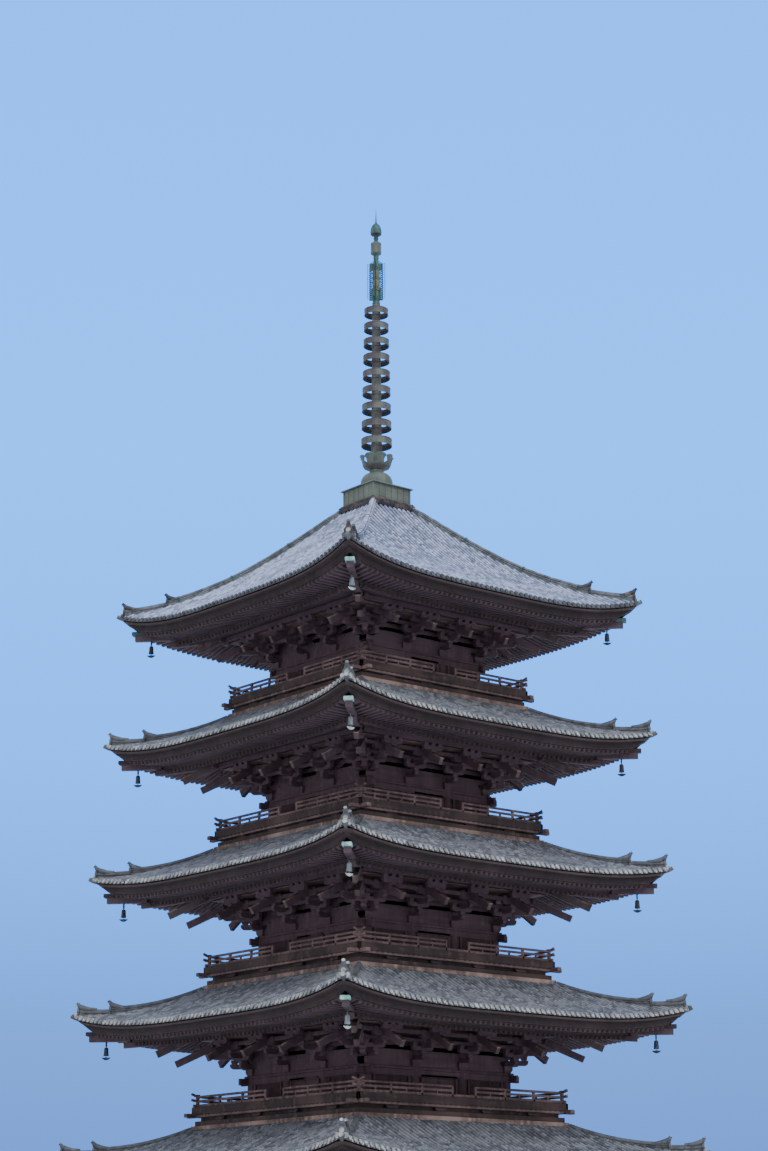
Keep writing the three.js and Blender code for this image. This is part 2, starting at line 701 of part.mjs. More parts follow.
// The wind plates of one corner hang turned.
const turnedBell = bell(-45);
for (let k = 0; k < STOREYS; k++) {
  const pin = bellPin(k);
  CORNERS.forEach((corner, i) => {
    const hung = new THREE.Group();
    hung.rotation.z = Math.PI / 4 + (Math.PI / 2) * i;
    hung.position.set(
      pin.reach * Math.cos(hung.rotation.z), pin.reach * Math.sin(hung.rotation.z), pin.z,
    );
    pagoda.add(hung);
    const cast = corner === "front_left" ? turnedBell : oneBell;
    place(`bell_${k + 1}_${corner}`, cast, bellBronze, hung);
  });
}

export default pagoda;
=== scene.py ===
"""A five-storey timber pagoda at half size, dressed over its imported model."""

import math

import bmesh
import bpy
import numpy as np
from mathutils import Matrix, Vector


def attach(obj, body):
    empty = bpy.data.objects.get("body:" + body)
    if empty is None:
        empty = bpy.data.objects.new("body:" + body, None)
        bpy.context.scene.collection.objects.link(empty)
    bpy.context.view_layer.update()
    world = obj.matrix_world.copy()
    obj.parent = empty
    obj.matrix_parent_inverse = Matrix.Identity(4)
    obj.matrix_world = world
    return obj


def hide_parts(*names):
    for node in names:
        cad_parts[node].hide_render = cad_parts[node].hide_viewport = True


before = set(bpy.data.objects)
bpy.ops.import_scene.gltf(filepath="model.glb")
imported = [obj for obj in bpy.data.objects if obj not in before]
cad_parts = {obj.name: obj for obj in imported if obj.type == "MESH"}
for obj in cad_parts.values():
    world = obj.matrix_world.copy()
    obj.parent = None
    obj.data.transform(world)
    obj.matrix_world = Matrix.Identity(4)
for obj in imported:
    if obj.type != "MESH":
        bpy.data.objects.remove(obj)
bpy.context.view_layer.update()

# Sizes are the real building's, in metres; dress() halves each finished piece.
MODEL_SCALE = 0.5
STOREYS = 5
STOREY_RISE = 6.483
FIRST_CORNER_Z = 7.58
PODIUM_HEIGHT = 1.1
PODIUM_HALF = 7.1
WALL_HALF = [4.74, 4.4, 4.09, 3.8, 3.6]
CORNER_HALF = [10.68, 10.25, 9.78, 9.4, 9.04]
RAIL_TIP_HALF = [0, 6.2, 5.88, 5.58, 5.16]
COLUMN_RADIUS = [0.27, 0.25, 0.24, 0.23, 0.22]
CORNER_LIFT = [0.74, 0.74, 0.61, 0.7, 0.86]
CORNER_FLARE = 0.34
CORNER_BEND = 3.6
ROOF_RISE = [1.92, 1.92, 1.88, 1.98, 5.8]
TILE_THICK = 0.24
TILE_EDGE = 0.16
SPIRE_SEAT_HALF = 1.22
RIDGE_HEIGHT = 0.31
RIDGE_STEP_INSET = [1.48, 1.48, 1.55, 1.56, 1.88]
RAFTER_SLOPE = 0.315
RAFTER_DROP = 0.74
FLYING_SLOPE = 0.093
FLYING_DROP = 0.58
FLYING_INSET = 0.38
TAIL_REACH = [0.82, 0.82, 0.82, 0.7, 0.42]
TAIL_SLOPE = 0.56
TAIL_END_UP = 0.84
CORNER_TAIL_SLOPE = 0.45
CORNER_TAIL_UP = 1.19
CORNER_TAIL_OVER = 0.58
WALL_THICK = 0.2
BRACKET_STEP = 0.62
RAIL_INSET = 0.22
RAIL_TIP_OVER = 0.12
RAIL_GAP_HALF = 0.62
HEAD_NOSE = [0.5, 0.5, 0.5, 0.5, 0.26]
BELL_INSET = 1.17
BELL_PIN_DROP = [1.26, 1.26, 1.26, 1.26, 1.31]
TILE_PITCH = 0.29
RAFTER_PITCH = 0.288
BOARD_PITCH = 0.3
DISC_SUNK = 0.016
CIRCLE_SIDES = 10
BOX_TOP_Z = 39.69
BOWL_FOOT_Z = 39.756
FLOWER_FOOT_Z = 40.78
RING_COUNT = 9
RING_TOP_Z = 49.35
RING_PITCH = 0.82
RING_SPREAD = 0.006

DIAGONAL = math.sqrt(2)
ALONG_X = (0, math.pi / 2, 0)
ALONG_Y = (math.pi / 2, 0, 0)
CORNERS = ((1, 1), (1, -1), (-1, 1), (-1, -1))


def grown(half, start, end):
    """0 up to start and 1 at end, growing as a square."""
    return np.maximum(0, (half - start) / (end - start)) ** 2


class Storey:
    """Where everything on one storey lies, as in the part's source."""

    def __init__(self, k):
        self.k = k
        self.number = k + 1
        self.top = k == STOREYS - 1
        self.wall = WALL_HALF[k]
        self.corner_z = FIRST_CORNER_Z + k * STOREY_RISE
        self.tip_half = CORNER_HALF[k]
        self.eave_half = self.tip_half - CORNER_FLARE
        self.corner_lift = CORNER_LIFT[k]
        self.eave_z = self.corner_z - self.corner_lift
        self.column_half = self.wall - COLUMN_RADIUS[k]
        self.columns = (
            -self.column_half, -self.column_half / 3, self.column_half / 3, self.column_half
        )
        self.arms = [self.column_half + n * BRACKET_STEP for n in (1, 2, 3)]
        self.purlin_half = self.arms[2]
        self.purlin_edge = self.purlin_half + 0.12
        self.rafter_tip = self.eave_half - 1.7
        self.seat_z = float(self.rafter_z(self.purlin_edge))
        self.inner_half = self.column_half - WALL_THICK / 2
        self.outer_half = self.column_half + WALL_THICK / 2
        self.base_half = SPIRE_SEAT_HALF if self.top else RAIL_TIP_HALF[k + 1] - 0.08
        self.ridge_step = self.tip_half - RIDGE_STEP_INSET[k]
        self.rise = ROOF_RISE[k]
        self.sag = 0.3 if self.top else 0.34
        self.lift_from = self.eave_half - 4.8 if self.top else self.base_half
        self.deck_z = self.corner_z - 4.15
        self.deck_half = RAIL_TIP_HALF[k] - RAIL_INSET + 0.2
        self.floor_z = self.deck_z if k else PODIUM_HEIGHT
        self.column_top = self.corner_z - 2.76

    def tile_z(self, half):
        share = (half - self.base_half) / (self.eave_half - self.base_half)
        share = np.where(share < 0, 0.3 * share, share)
        fall = (1 - share) * (1 - self.sag * np.maximum(share, 0))
        return self.eave_z + TILE_EDGE + self.rise * fall

    def tile_lift(self, half):
        return grown(half, self.lift_from, self.eave_half)

    def rafter_z(self, half):
        return self.eave_z - RAFTER_DROP + RAFTER_SLOPE * (self.rafter_tip - half)

    def flying_z(self, half):
        return self.eave_z - FLYING_DROP + FLYING_SLOPE * (self.eave_half - FLYING_INSET - half)

    def rafter_lift(self, half):
        return grown(half, self.purlin_edge, self.eave_half)

    def on_hip(self, half):
        """The tile surface on the corner's diagonal: (distance from the axis, height)."""
        lift = float(self.tile_lift(half))
        reach = (half + CORNER_FLARE * lift) * DIAGONAL
        return reach, float(self.tile_z(half)) + self.corner_lift * lift

    def hip_slope(self, half):
        """The same with its tilt: (distance, height, tilt)."""
        near, far = self.on_hip(half - 0.05), self.on_hip(half + 0.05)
        return *self.on_hip(half), math.atan2(far[1] - near[1], far[0] - near[0])

    def on_rafter_hip(self, half, z):
        lift = float(self.rafter_lift(half))
        return (half + CORNER_FLARE * lift) * DIAGONAL, z + self.corner_lift * lift

    def hip_beam_tip(self):
        return self.on_rafter_hip(self.eave_half - 0.55, self.eave_z - FLYING_DROP)

    def bell_pin(self):
        """The pin on the corner's diagonal: (distance from the axis, height)."""
        return (self.tip_half - BELL_INSET) * DIAGONAL, self.corner_z - BELL_PIN_DROP[self.k]


storeys = [Storey(k) for k in range(STOREYS)]
box_seat_z = float(storeys[-1].tile_z(SPIRE_SEAT_HALF))

# Camera, from the solved photograph: degrees, millimetres and the real place in metres
CAMERA_TURN, CAMERA_PITCH, CAMERA_ROLL = (math.radians(a) for a in (0.168, 16.02, 0.215))
CAMERA_AIM = -39.252
CAMERA_PLACE = Vector((-74.44, -91.10, 1.6))
CAMERA_LENS, SENSOR_WIDTH = 78.16, 36

cam_data = bpy.data.cameras.new("camera")
cam_data.lens = CAMERA_LENS
cam_data.sensor_width = SENSOR_WIDTH
cam_data.clip_end = 500
camera = bpy.data.objects.new("camera", cam_data)
bpy.context.scene.collection.objects.link(camera)
bpy.context.scene.camera = camera


def about_z(degrees):
    return Matrix.Rotation(math.radians(degrees), 4, "Z")


def aim_camera():
    side = Vector((math.cos(CAMERA_TURN), -math.sin(CAMERA_TURN), 0))
    ahead = Vector((math.sin(CAMERA_TURN), math.cos(CAMERA_TURN), 0))
    look = ahead * math.cos(CAMERA_PITCH) + Vector((0, 0, math.sin(CAMERA_PITCH)))
    up = -ahead * math.sin(CAMERA_PITCH) + Vector((0, 0, math.cos(CAMERA_PITCH)))
    right = side * math.cos(CAMERA_ROLL) - up * math.sin(CAMERA_ROLL)
    over = side * math.sin(CAMERA_ROLL) + up * math.cos(CAMERA_ROLL)
    axes = Matrix((right, over, -look)).transposed().to_4x4()
    place = Matrix.Translation(CAMERA_PLACE * MODEL_SCALE)
    camera.matrix_world = place @ about_z(CAMERA_AIM) @ axes


aim_camera()


# Materials
def node(tree, kind, inputs, **settings):
    """A shader node; each input is a value or another node's output."""
    made = tree.nodes.new("ShaderNode" + kind)
    for key, value in settings.items():
        setattr(made, key, value)
    for key, value in inputs.items():
        if isinstance(value, bpy.types.NodeSocket):
            tree.links.new(value, made.inputs[key])
        else:
            made.inputs[key].default_value = value
    return made


def material(name, roughness, metallic=0.0):
    made = bpy.data.materials.new(name)
    made.use_nodes = True
    shader = made.node_tree.nodes["Principled BSDF"]
    shader.inputs["Roughness"].default_value = roughness
    shader.inputs["Metallic"].default_value = metallic
    return made, made.node_tree


def coated(made, base, height, strength, distance):
    """The material with its colour and its fine relief."""
    tree = made.node_tree
    shader = tree.nodes["Principled BSDF"]
    bump = node(tree, "Bump", {"Strength": strength, "Distance": distance, "Height": height})
    tree.links.new(base, shader.inputs["Base Color"])
    tree.links.new(bump.outputs["Normal"], shader.inputs["Normal"])
    return made


def noise(tree, scale, detail, stretch=(1, 1, 1)):
    """Noise on Object coordinates, stretched along the axes."""
    where = node(tree, "TexCoord", {}).outputs["Object"]
    mapping = node(tree, "Mapping", {"Vector": where, "Scale": stretch}).outputs["Vector"]
    spots = node(tree, "TexNoise", {"Vector": mapping, "Scale": scale, "Detail": detail})
    return spots.outputs["Fac"]


def ramp(tree, source, stops):
    made = node(tree, "ValToRGB", {"Fac": source})
    while len(made.color_ramp.elements) < len(stops):
        made.color_ramp.elements.new(0.5)
    for element, (at, color) in zip(made.color_ramp.elements, stops):
        element.position = at
        element.color = (*color, 1)
    return made.outputs["Color"]


def steps(tree, source, low, high):
    """0 below low, 1 above high."""
    made = node(tree, "MapRange", {"From Min": low, "From Max": high, "Value": source})
    return made.outputs["Result"]


def blend_colors(tree, share, first, second):
    """The first colour where share is 0, and the second where it is 1."""
    if isinstance(second, tuple):
        second = (*second, 1)
    return node(tree, "Mix", {0: share, 6: first, 7: second}, data_type="RGBA").outputs[2]


def tile_material(name, dark, middle, pale, patch, dirt):
    """Smoked grey tiles: each tile its own shade, patches of newer tiles and lichen."""
    made, tree = material(name, 0.62)
    where = node(tree, "TexCoord", {}).outputs["Object"]
    cells = node(tree, "TexVoronoi", {"Scale": 7.0, "Vector": where})
    shade = node(tree, "SeparateColor", {"Color": cells.outputs["Color"]}).outputs[0]
    base = ramp(tree, shade, [(0.0, dark), (0.5, middle), (1.0, pale)])
    base = blend_colors(tree, steps(tree, noise(tree, 1.6, 5), 0.52, 0.62), base, patch)
    base = blend_colors(tree, steps(tree, noise(tree, 9.0, 6), 0.5, 0.75), base, dirt)
    return coated(made, base, noise(tree, 60, 5), 0.35, 0.01)


def timber_material(name, dark, middle, pale):
    """Weathered timber with grain along each axis in turn and paler, drier patches."""
    made, tree = material(name, 0.8)
    grain = noise(tree, 9.0, 8, (1, 1, 0.12))
    cross = noise(tree, 9.0, 8, (0.12, 1, 1))
    both = node(tree, "Math", {0: grain, 1: cross}, operation="MULTIPLY").outputs[0]
    base = ramp(tree, both, [(0.14, dark), (0.3, middle), (0.42, pale)])
    base = blend_colors(tree, steps(tree, noise(tree, 0.9, 5), 0.5, 0.72), base, pale)
    return coated(made, base, both, 0.5, 0.01)


def metal_material(name, dark, middle, pale, metallic, scale=5.0):
    """Bronze under a patina that gathers in patches and runs."""
    made, tree = material(name, 0.6, metallic)
    base = ramp(tree, noise(tree, scale, 7, (1, 1, 0.35)),
                [(0.32, dark), (0.52, middle), (0.7, pale)])
    return coated(made, base, noise(tree, scale * 8, 4), 0.2, 0.006)


def stone_material(name, dark, middle, pale):
    made, tree = material(name, 0.85)
    base = ramp(tree, noise(tree, 1.1, 8), [(0.3, dark), (0.5, middle), (0.68, pale)])
    base = blend_colors(tree, steps(tree, noise(tree, 45, 3), 0.55, 0.7), base, dark)
    return coated(made, base, noise(tree, 30, 6), 0.4, 0.01)


# The top roof tile's blue tint is painted skylight over the tiles' smoked grey.
top_tile_skylit = tile_material(
    "top roof tile", (0.14, 0.17, 0.27), (0.255, 0.305, 0.475), (0.44, 0.52, 0.73),
    (0.36, 0.425, 0.62), (0.1, 0.105, 0.155),
)
# The gap finishes are darkened copies of the tiles: painted shade in the troughs between the rows.
top_gap_shade = tile_material(
    "top roof gaps", (0.035, 0.04, 0.055), (0.06, 0.068, 0.09), (0.1, 0.115, 0.15),
    (0.08, 0.09, 0.12), (0.03, 0.032, 0.04),
)
lower_tile = tile_material(
    "lower roof tile", (0.078, 0.082, 0.1), (0.14, 0.15, 0.178), (0.25, 0.27, 0.31),
    (0.19, 0.2, 0.225), (0.055, 0.052, 0.058),
)
lower_gap_shade = tile_material(
    "lower roof gaps", (0.035, 0.036, 0.042), (0.065, 0.068, 0.078), (0.11, 0.115, 0.13),
    (0.085, 0.088, 0.1), (0.028, 0.028, 0.03),
)
ridge_tile = tile_material(
    "ridge tile", (0.045, 0.048, 0.056), (0.072, 0.078, 0.09), (0.105, 0.115, 0.13),
    (0.09, 0.096, 0.108), (0.034, 0.034, 0.039),
)
# The end discs' pale tone is partly the tiles' own colour and partly painted highlight.
eave_tile = tile_material(
    "eave disc tile", (0.16, 0.167, 0.176), (0.28, 0.298, 0.312), (0.44, 0.475, 0.492),
    (0.37, 0.38, 0.38), (0.08, 0.078, 0.082),
)
foot_tile = tile_material(
    "box foot tile", (0.02, 0.018, 0.022), (0.038, 0.033, 0.042), (0.13, 0.09, 0.085),
    (0.05, 0.042, 0.05), (0.013, 0.012, 0.015),
)
# A paler copy of the ridge tile for the top roof's ridges: painted light that lifts the shade of their
# stepped courses.
hip_tile_lightened = tile_material(
    "top ridge tile", (0.066, 0.074, 0.082), (0.105, 0.119, 0.128), (0.15, 0.168, 0.178),
    (0.124, 0.14, 0.15), (0.05, 0.046, 0.051),
)
dark_timber = timber_material(
    "dark timber", (0.055, 0.032, 0.042), (0.08, 0.046, 0.06), (0.102, 0.062, 0.078)
)
rafter_timber = timber_material(
    "rafter timber", (0.056, 0.036, 0.047), (0.08, 0.052, 0.067), (0.102, 0.068, 0.085)
)
# A darkened copy of the rafter timber: painted shade on the rafter ends and the eave strip.
end_timber = timber_material(
    "rafter end timber", (0.026, 0.016, 0.018), (0.038, 0.023, 0.026), (0.054, 0.034, 0.036)
)
# The fascia's near-black timber is dark timber darkened further as painted shade under the tile edge.
eave_edge_shade = timber_material(
    "eave edge timber", (0.013, 0.008, 0.01), (0.02, 0.012, 0.015), (0.033, 0.021, 0.025)
)
# The balcony timber is the dark timber darkened to painted shade, for the parts under the rail sill and
# the deck.
balcony_shade_timber = timber_material(
    "balcony timber", (0.016, 0.009, 0.01), (0.03, 0.017, 0.018), (0.075, 0.044, 0.04)
)
# On the bracket ceilings this paler timber is painted light in the shade between the brackets.
worn_timber = timber_material(
    "worn timber", (0.062, 0.037, 0.038), (0.118, 0.073, 0.073), (0.2, 0.132, 0.124)
)
pale_timber = timber_material(
    "pale worn timber", (0.06, 0.038, 0.034), (0.16, 0.104, 0.09), (0.34, 0.24, 0.205)
)
bracket_end = timber_material(
    "worn bracket end", (0.05, 0.034, 0.037), (0.08, 0.056, 0.06), (0.12, 0.09, 0.09)
)
spire_bronze = metal_material(
    "spire bronze", (0.058, 0.048, 0.05), (0.09, 0.086, 0.085), (0.12, 0.15, 0.13), 0.15
)
olive_bronze = metal_material(
    "olive bronze", (0.06, 0.074, 0.065), (0.094, 0.118, 0.102), (0.14, 0.172, 0.148), 0.12
)
green_bronze = metal_material(
    "green bronze", (0.016, 0.05, 0.045), (0.03, 0.092, 0.084), (0.058, 0.16, 0.146), 0.12, 9.0
)
stem_bronze = metal_material(
    "spire stem bronze", (0.03, 0.075, 0.066), (0.05, 0.108, 0.09), (0.13, 0.14, 0.085), 0.12, 3.0
)
cap_bronze = metal_material(
    "hip cap sheet", (0.14, 0.3, 0.29), (0.25, 0.48, 0.46), (0.5, 0.68, 0.65), 0.05, 9.0
)
box_bronze = metal_material(
    "spire box sheet", (0.078, 0.095, 0.078), (0.12, 0.148, 0.124), (0.168, 0.206, 0.174), 0.1, 2.5
)
# The bands' inward faces take this dark finish as painted shade.
ring_inside_shade = metal_material(
    "ring inside", (0.018, 0.018, 0.028), (0.028, 0.03, 0.044), (0.042, 0.046, 0.064), 0.1
)
bell_bronze = metal_material(
    "bell bronze", (0.016, 0.016, 0.024), (0.028, 0.029, 0.04), (0.055, 0.06, 0.075), 0.2, 14.0
)
# The pale bell bronze and pale wind plate are painted light on the near-corner bells.
lit_bell_bronze = metal_material(
    "pale bell bronze", (0.08, 0.1, 0.12), (0.16, 0.19, 0.22), (0.32, 0.36, 0.39), 0.1, 14.0
)
lit_plate_bronze = metal_material(
    "pale wind plate", (0.3, 0.35, 0.37), (0.46, 0.52, 0.55), (0.66, 0.72, 0.74), 0.05, 14.0
)
podium_stone = stone_material(
    "podium stone", (0.2, 0.19, 0.17), (0.34, 0.32, 0.28), (0.46, 0.44, 0.39)
)


# Modelling tools
def clear_selection():
    if bpy.context.mode != "OBJECT":
        bpy.ops.object.mode_set(mode="OBJECT")
    bpy.ops.object.select_all(action="DESELECT")


def only(piece):
    clear_selection()
    piece.select_set(True)
    bpy.context.view_layer.objects.active = piece
    return piece


def opened(piece):
    """The piece alone in edit mode, all of it selected."""
    only(piece)
    bpy.ops.object.mode_set(mode="EDIT")
    bpy.ops.mesh.select_all(action="SELECT")


def shut(piece):
    bpy.ops.object.mode_set(mode="OBJECT")
    return piece


def shut_outwards(piece):
    """Turns every face outwards before edit mode ends."""
    bpy.ops.mesh.select_all(action="SELECT")
    bpy.ops.mesh.normals_make_consistent(inside=False)
    return shut(piece)


def pick_faces(piece, wanted):
    """Edit mode with only the wanted faces selected."""
    only(piece)
    bpy.ops.object.mode_set(mode="EDIT")
    shape = bmesh.from_edit_mesh(piece.data)
    for face in shape.faces:
        face.select_set(wanted(face))
    bmesh.update_edit_mesh(piece.data)


def settled():
    """The new primitive's place goes into its mesh, so its object sits at the origin."""
    piece = only(bpy.context.object)
    bpy.ops.object.transform_apply(location=True, rotation=True, scale=True)
    return piece


def block(x, y, z, ease=0.0):
    """A cube primitive from (low, high) on each axis, with its edges eased where asked."""
    clear_selection()
    middle = [(low + high) / 2 for low, high in (x, y, z)]
    size = [high - low for low, high in (x, y, z)]
    bpy.ops.mesh.primitive_cube_add(size=1, location=middle, scale=size)
    return eased(settled(), ease) if ease else settled()


def rod(radius, depth, sides, location=(0, 0, 0), rotation=(0, 0, 0), end=None):
    """A cylinder, or a cone where its end has another radius."""
    clear_selection()
    bpy.ops.mesh.primitive_cone_add(
        vertices=sides, radius1=radius, radius2=radius if end is None else end, depth=depth,
        location=location, rotation=rotation,
    )
    return settled()


def grid(across, along, size=1):
    clear_selection()
    bpy.ops.mesh.primitive_grid_add(x_subdivisions=across, y_subdivisions=along, size=size)
    return settled()


def modifier(piece, kind, **values):
    only(piece)
    made = piece.modifiers.new(kind.lower(), kind)
    for key, value in values.items():
        setattr(made, key, value)
    bpy.ops.object.modifier_apply(modifier=made.name)
    return piece


def eased(piece, width):
    """Its hard edges get a small bevel."""
    return modifier(
        piece, "BEVEL", width=width, segments=1, limit_method="ANGLE",
        angle_limit=math.radians(40),
    )


def smoothed(piece, degrees):
    only(piece)
    bpy.ops.object.shade_smooth_by_angle(angle=math.radians(degrees))
    return piece


def row(piece, count, step):
    return modifier(
        piece, "ARRAY", count=count, use_relative_offset=False, use_constant_offset=True,
        constant_offset_displace=step,
    )


def centred_row(piece, count, pitch):
    return shifted(row(piece, count, (pitch, 0, 0)), x=-(count - 1) / 2 * pitch)


def copied(piece, matrix):
    made = bpy.data.objects.new(piece.name, piece.data.copy())
    bpy.context.scene.collection.objects.link(made)
    made.data.transform(matrix)
    if matrix.determinant() < 0:
        made.data.flip_normals()
    return made


def joined(pieces):
    pieces = list(pieces)
    only(pieces[0])
    for piece in pieces:
        piece.select_set(True)
    if len(pieces) > 1:
        bpy.ops.object.join()
    return bpy.context.object


def shifted(piece, x=0.0, y=0.0, z=0.0):
    piece.data.transform(Matrix.Translation((x, y, z)))
    return piece


def spun(piece, degrees):
    piece.data.transform(about_z(degrees))
    return piece


def round_copies(piece, count):
    """The piece and its copies, evenly round the axis."""
    return joined([piece, *(copied(piece, about_z(360 / count * i)) for i in range(1, count))])


def four_sides(piece):
    return round_copies(piece, 4)


def four_corners(piece):
    """A piece drawn along x, turned to each corner."""
    return four_sides(spun(piece, 45))


def along_x(piece, spots):
    """Copies of the piece at each x, in its place."""
    made = joined([copied(piece, Matrix.Translation((x, 0, 0))) for x in spots])
    bpy.data.objects.remove(piece)
    return made


def points_of(piece):
    flat = np.empty(len(piece.data.vertices) * 3)
    piece.data.vertices.foreach_get("co", flat)
    return flat.reshape(-1, 3)


def set_points(piece, points):
    piece.data.vertices.foreach_set("co", np.ascontiguousarray(points).ravel())
    piece.data.update()
    return piece


def cut(piece, point, normal, fill=True):
    """Bisects the piece and drops the half on the normal's side."""
    opened(piece)
    bpy.ops.mesh.bisect(plane_co=point, plane_no=normal, use_fill=fill, clear_outer=True)
    return shut(piece)


def creased(piece, planes):
    """Cuts across the piece at each (point, normal), so that it can bend there."""
    opened(piece)
    for point, normal in planes:
        bpy.ops.mesh.select_all(action="SELECT")
        bpy.ops.mesh.bisect(plane_co=point, plane_no=normal)
    return shut(piece)


def creased_across(piece, inner, outer, shares):
    """Creases a piece that runs outwards as -y, at shares of its length."""
    stations = [inner + (outer - inner) * share for share in shares]
    return creased(piece, [((0, -y, 0), (0, 1, 0)) for y in stations])


def between_hips(piece, fill=True):
    """Keeps what lies between the two diagonals of the front side."""
    cut(piece, (0, 0, 0), (1, 1, 0), fill)
    return cut(piece, (0, 0, 0), (-1, 1, 0), fill)


def bend_to(piece, s, height, lift):
    """Warps a piece laid out flat: height(half), or one height, sets its level, and lift(half)
    how much of the corners' rise and flare it takes. Its own z is kept over that level."""
    points = points_of(piece)
    half = np.abs(points[:, :2]).max(axis=1)
    other = np.abs(points[:, :2]).min(axis=1)
    share = lift(half)
    bend = (other / half) ** CORNER_BEND
    out = 1 + CORNER_FLARE * share * bend / half
    along = 1 + CORNER_FLARE * share / half
    x_leads = np.abs(points[:, 0]) >= np.abs(points[:, 1])
    points[:, 0] *= np.where(x_leads, out, along)
    points[:, 1] *= np.where(x_leads, along, out)
    points[:, 2] += (height(half) if callable(height) else height) + s.corner_lift * share * bend
    return set_points(piece, points)


def square_half(point):
    """The half width of the square on which a point lies."""
    return max(abs(point.x), abs(point.y))


def ends_out(beyond):
    """Finds the cut ends that face out beyond a half width."""
    def found(face):
        at, normal = face.center, face.normal
        outward = normal.x * np.sign(at.x) if abs(at.x) > abs(at.y) else normal.y * np.sign(at.y)
        return square_half(at) > beyond and outward > 0.6
    return found


def dress(piece, name, slot, finishes, *replaced, which=None, body="tower"):
    """The finished piece: painted, at the model's scale and on its body; its slot is not used.
    which(face) gives the number of a face's finish, where there is more than one."""
    piece.data.materials.clear()
    for finish in finishes if isinstance(finishes, tuple) else (finishes,):
        piece.data.materials.append(finish)
    if which:
        for face in piece.data.polygons:
            face.material_index = int(which(face))
    piece.data.transform(Matrix.Scale(MODEL_SCALE, 4))
    piece.name = piece.data.name = name
    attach(piece, body)
    if replaced:
        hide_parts(*replaced)


def place_of(reach, height, tilt, size):
    return (
        Matrix.Translation((reach, 0, height))
        @ Matrix.Rotation(-tilt, 4, "Y")
        @ Matrix.Scale(size, 4)
    )


def swept(outline, stations):
    """A closed outline of (sideways, up), carried along stations of (reach, height, tilt,
    size) in the plane y = 0 by extruding it from one to the next. Both ends are closed."""
    clear_selection()
    bpy.ops.mesh.primitive_circle_add(vertices=len(outline), fill_type="NGON")
    piece = bpy.context.object
    for vertex, (side, up) in zip(piece.data.vertices, outline):
        vertex.co = (0, side, up)
    here = place_of(*stations[0])
    piece.data.transform(here)
    opened(piece)
    for station in stations[1:]:
        there = place_of(*station)
        bpy.ops.mesh.extrude_region_move()
        shape = bmesh.from_edit_mesh(piece.data)
        move = there @ here.inverted()
        for vertex in shape.verts:
            if vertex.select:
                vertex.co = move @ vertex.co
        bmesh.update_edit_mesh(piece.data)
        here = there
    return shut_outwards(piece)


def turned(profile, sides, foot=0.0):
    """A profile of (radius, height over its foot) spun round the axis."""
    clear_selection()
    bpy.ops.mesh.primitive_circle_add(vertices=len(profile))
    made = bpy.context.object
    opened(made)
    shape = bmesh.from_edit_mesh(made.data)
    bmesh.ops.delete(shape, geom=list(shape.verts), context="VERTS")
    dots = [shape.verts.new((radius, 0, foot + z)) for radius, z in profile]
    for first, second in zip(dots, dots[1:]):
        shape.edges.new((first, second))
    bmesh.update_edit_mesh(made.data)
    bpy.ops.mesh.select_all(action="SELECT")
    bpy.ops.mesh.spin(steps=sides, angle=2 * math.pi, center=(0, 0, 0), axis=(0, 0, 1))
    bpy.ops.mesh.select_all(action="SELECT")
    bpy.ops.mesh.remove_doubles(threshold=0.0004)
    return smoothed(shut_outwards(made), 40)


def rectangle(half, low, high):
    return [(-half, low), (half, low), (half, high), (-half, high)]


def circle(radius):
    turns = np.linspace(0, 2 * math.pi, CIRCLE_SIDES + 1)[:-1]
    return [(radius * math.cos(a), radius * math.sin(a)) for a in turns]


def flat_ring(inner, outer, cuts, thick):
    """A flat square ring with a crease along each diagonal, from z = 0 up or down by thick."""
    ring = creased(grid(cuts, cuts, 2 * outer), [
        ((0, 0, 0), (1, 1, 0)), ((0, 0, 0), (1, -1, 0)),
        ((-inner, 0, 0), (1, 0, 0)), ((inner, 0, 0), (1, 0, 0)),
        ((0, -inner, 0), (0, 1, 0)), ((0, inner, 0), (0, 1, 0)),
    ])
    pick_faces(ring, lambda face: square_half(face.calc_center_median()) < inner)
    bpy.ops.mesh.delete(type="FACE")
    bpy.ops.mesh.select_all(action="SELECT")
    bpy.ops.mesh.remove_doubles(threshold=0.0005)
    bpy.ops.mesh.extrude_region_move(TRANSFORM_OT_translate={"value": (0, 0, thick)})
    return shut_outwards(ring)


# Roofs
def tile_bed(s):
    """The roof's curved shell; its sharp corners are cut off square to the hips."""
    bed = flat_ring(0.72 if s.top else s.inner_half, s.eave_half, 44, -0.14)
    bend_to(bed, s, s.tile_z, s.tile_lift)
    reach = s.tip_half - 0.08
    for x, y in CORNERS:
        cut(bed, (x * reach, y * reach, 0), (x, y, 0))
    return bed


def tile_rows(s):
    """Rows of round cover tiles down all four slopes, stopped at the hips."""
    outer = s.eave_half + 0.02
    inner = SPIRE_SEAT_HALF + 0.02 if s.top else s.base_half - 0.25
    middle = (0, -(outer + inner) / 2, 0)
    tube = rod(0.078 if s.top else 0.084, outer - inner, 8, middle, ALONG_Y)
    cut(tube, (0, 0, -0.02), (0, 0, -1), fill=False)
    bends = 12 if s.top else 6
    creased_across(tube, inner, outer, [i / bends for i in range(1, bends)])
    rows = centred_row(tube, 2 * int(outer / TILE_PITCH) + 1, TILE_PITCH)
    rows = smoothed(four_sides(between_hips(rows, fill=False)), 50)
    return bend_to(rows, s, s.tile_z, s.tile_lift)


def rimmed(disc, outward, rim):
    """The disc with its outward face sunk inside a rim."""
    pick_faces(disc, lambda face: face.normal.dot(outward) > 0.9)
    bpy.ops.mesh.inset(thickness=rim)
    bpy.ops.transform.translate(value=outward * -DISC_SUNK)
    return shut(disc)


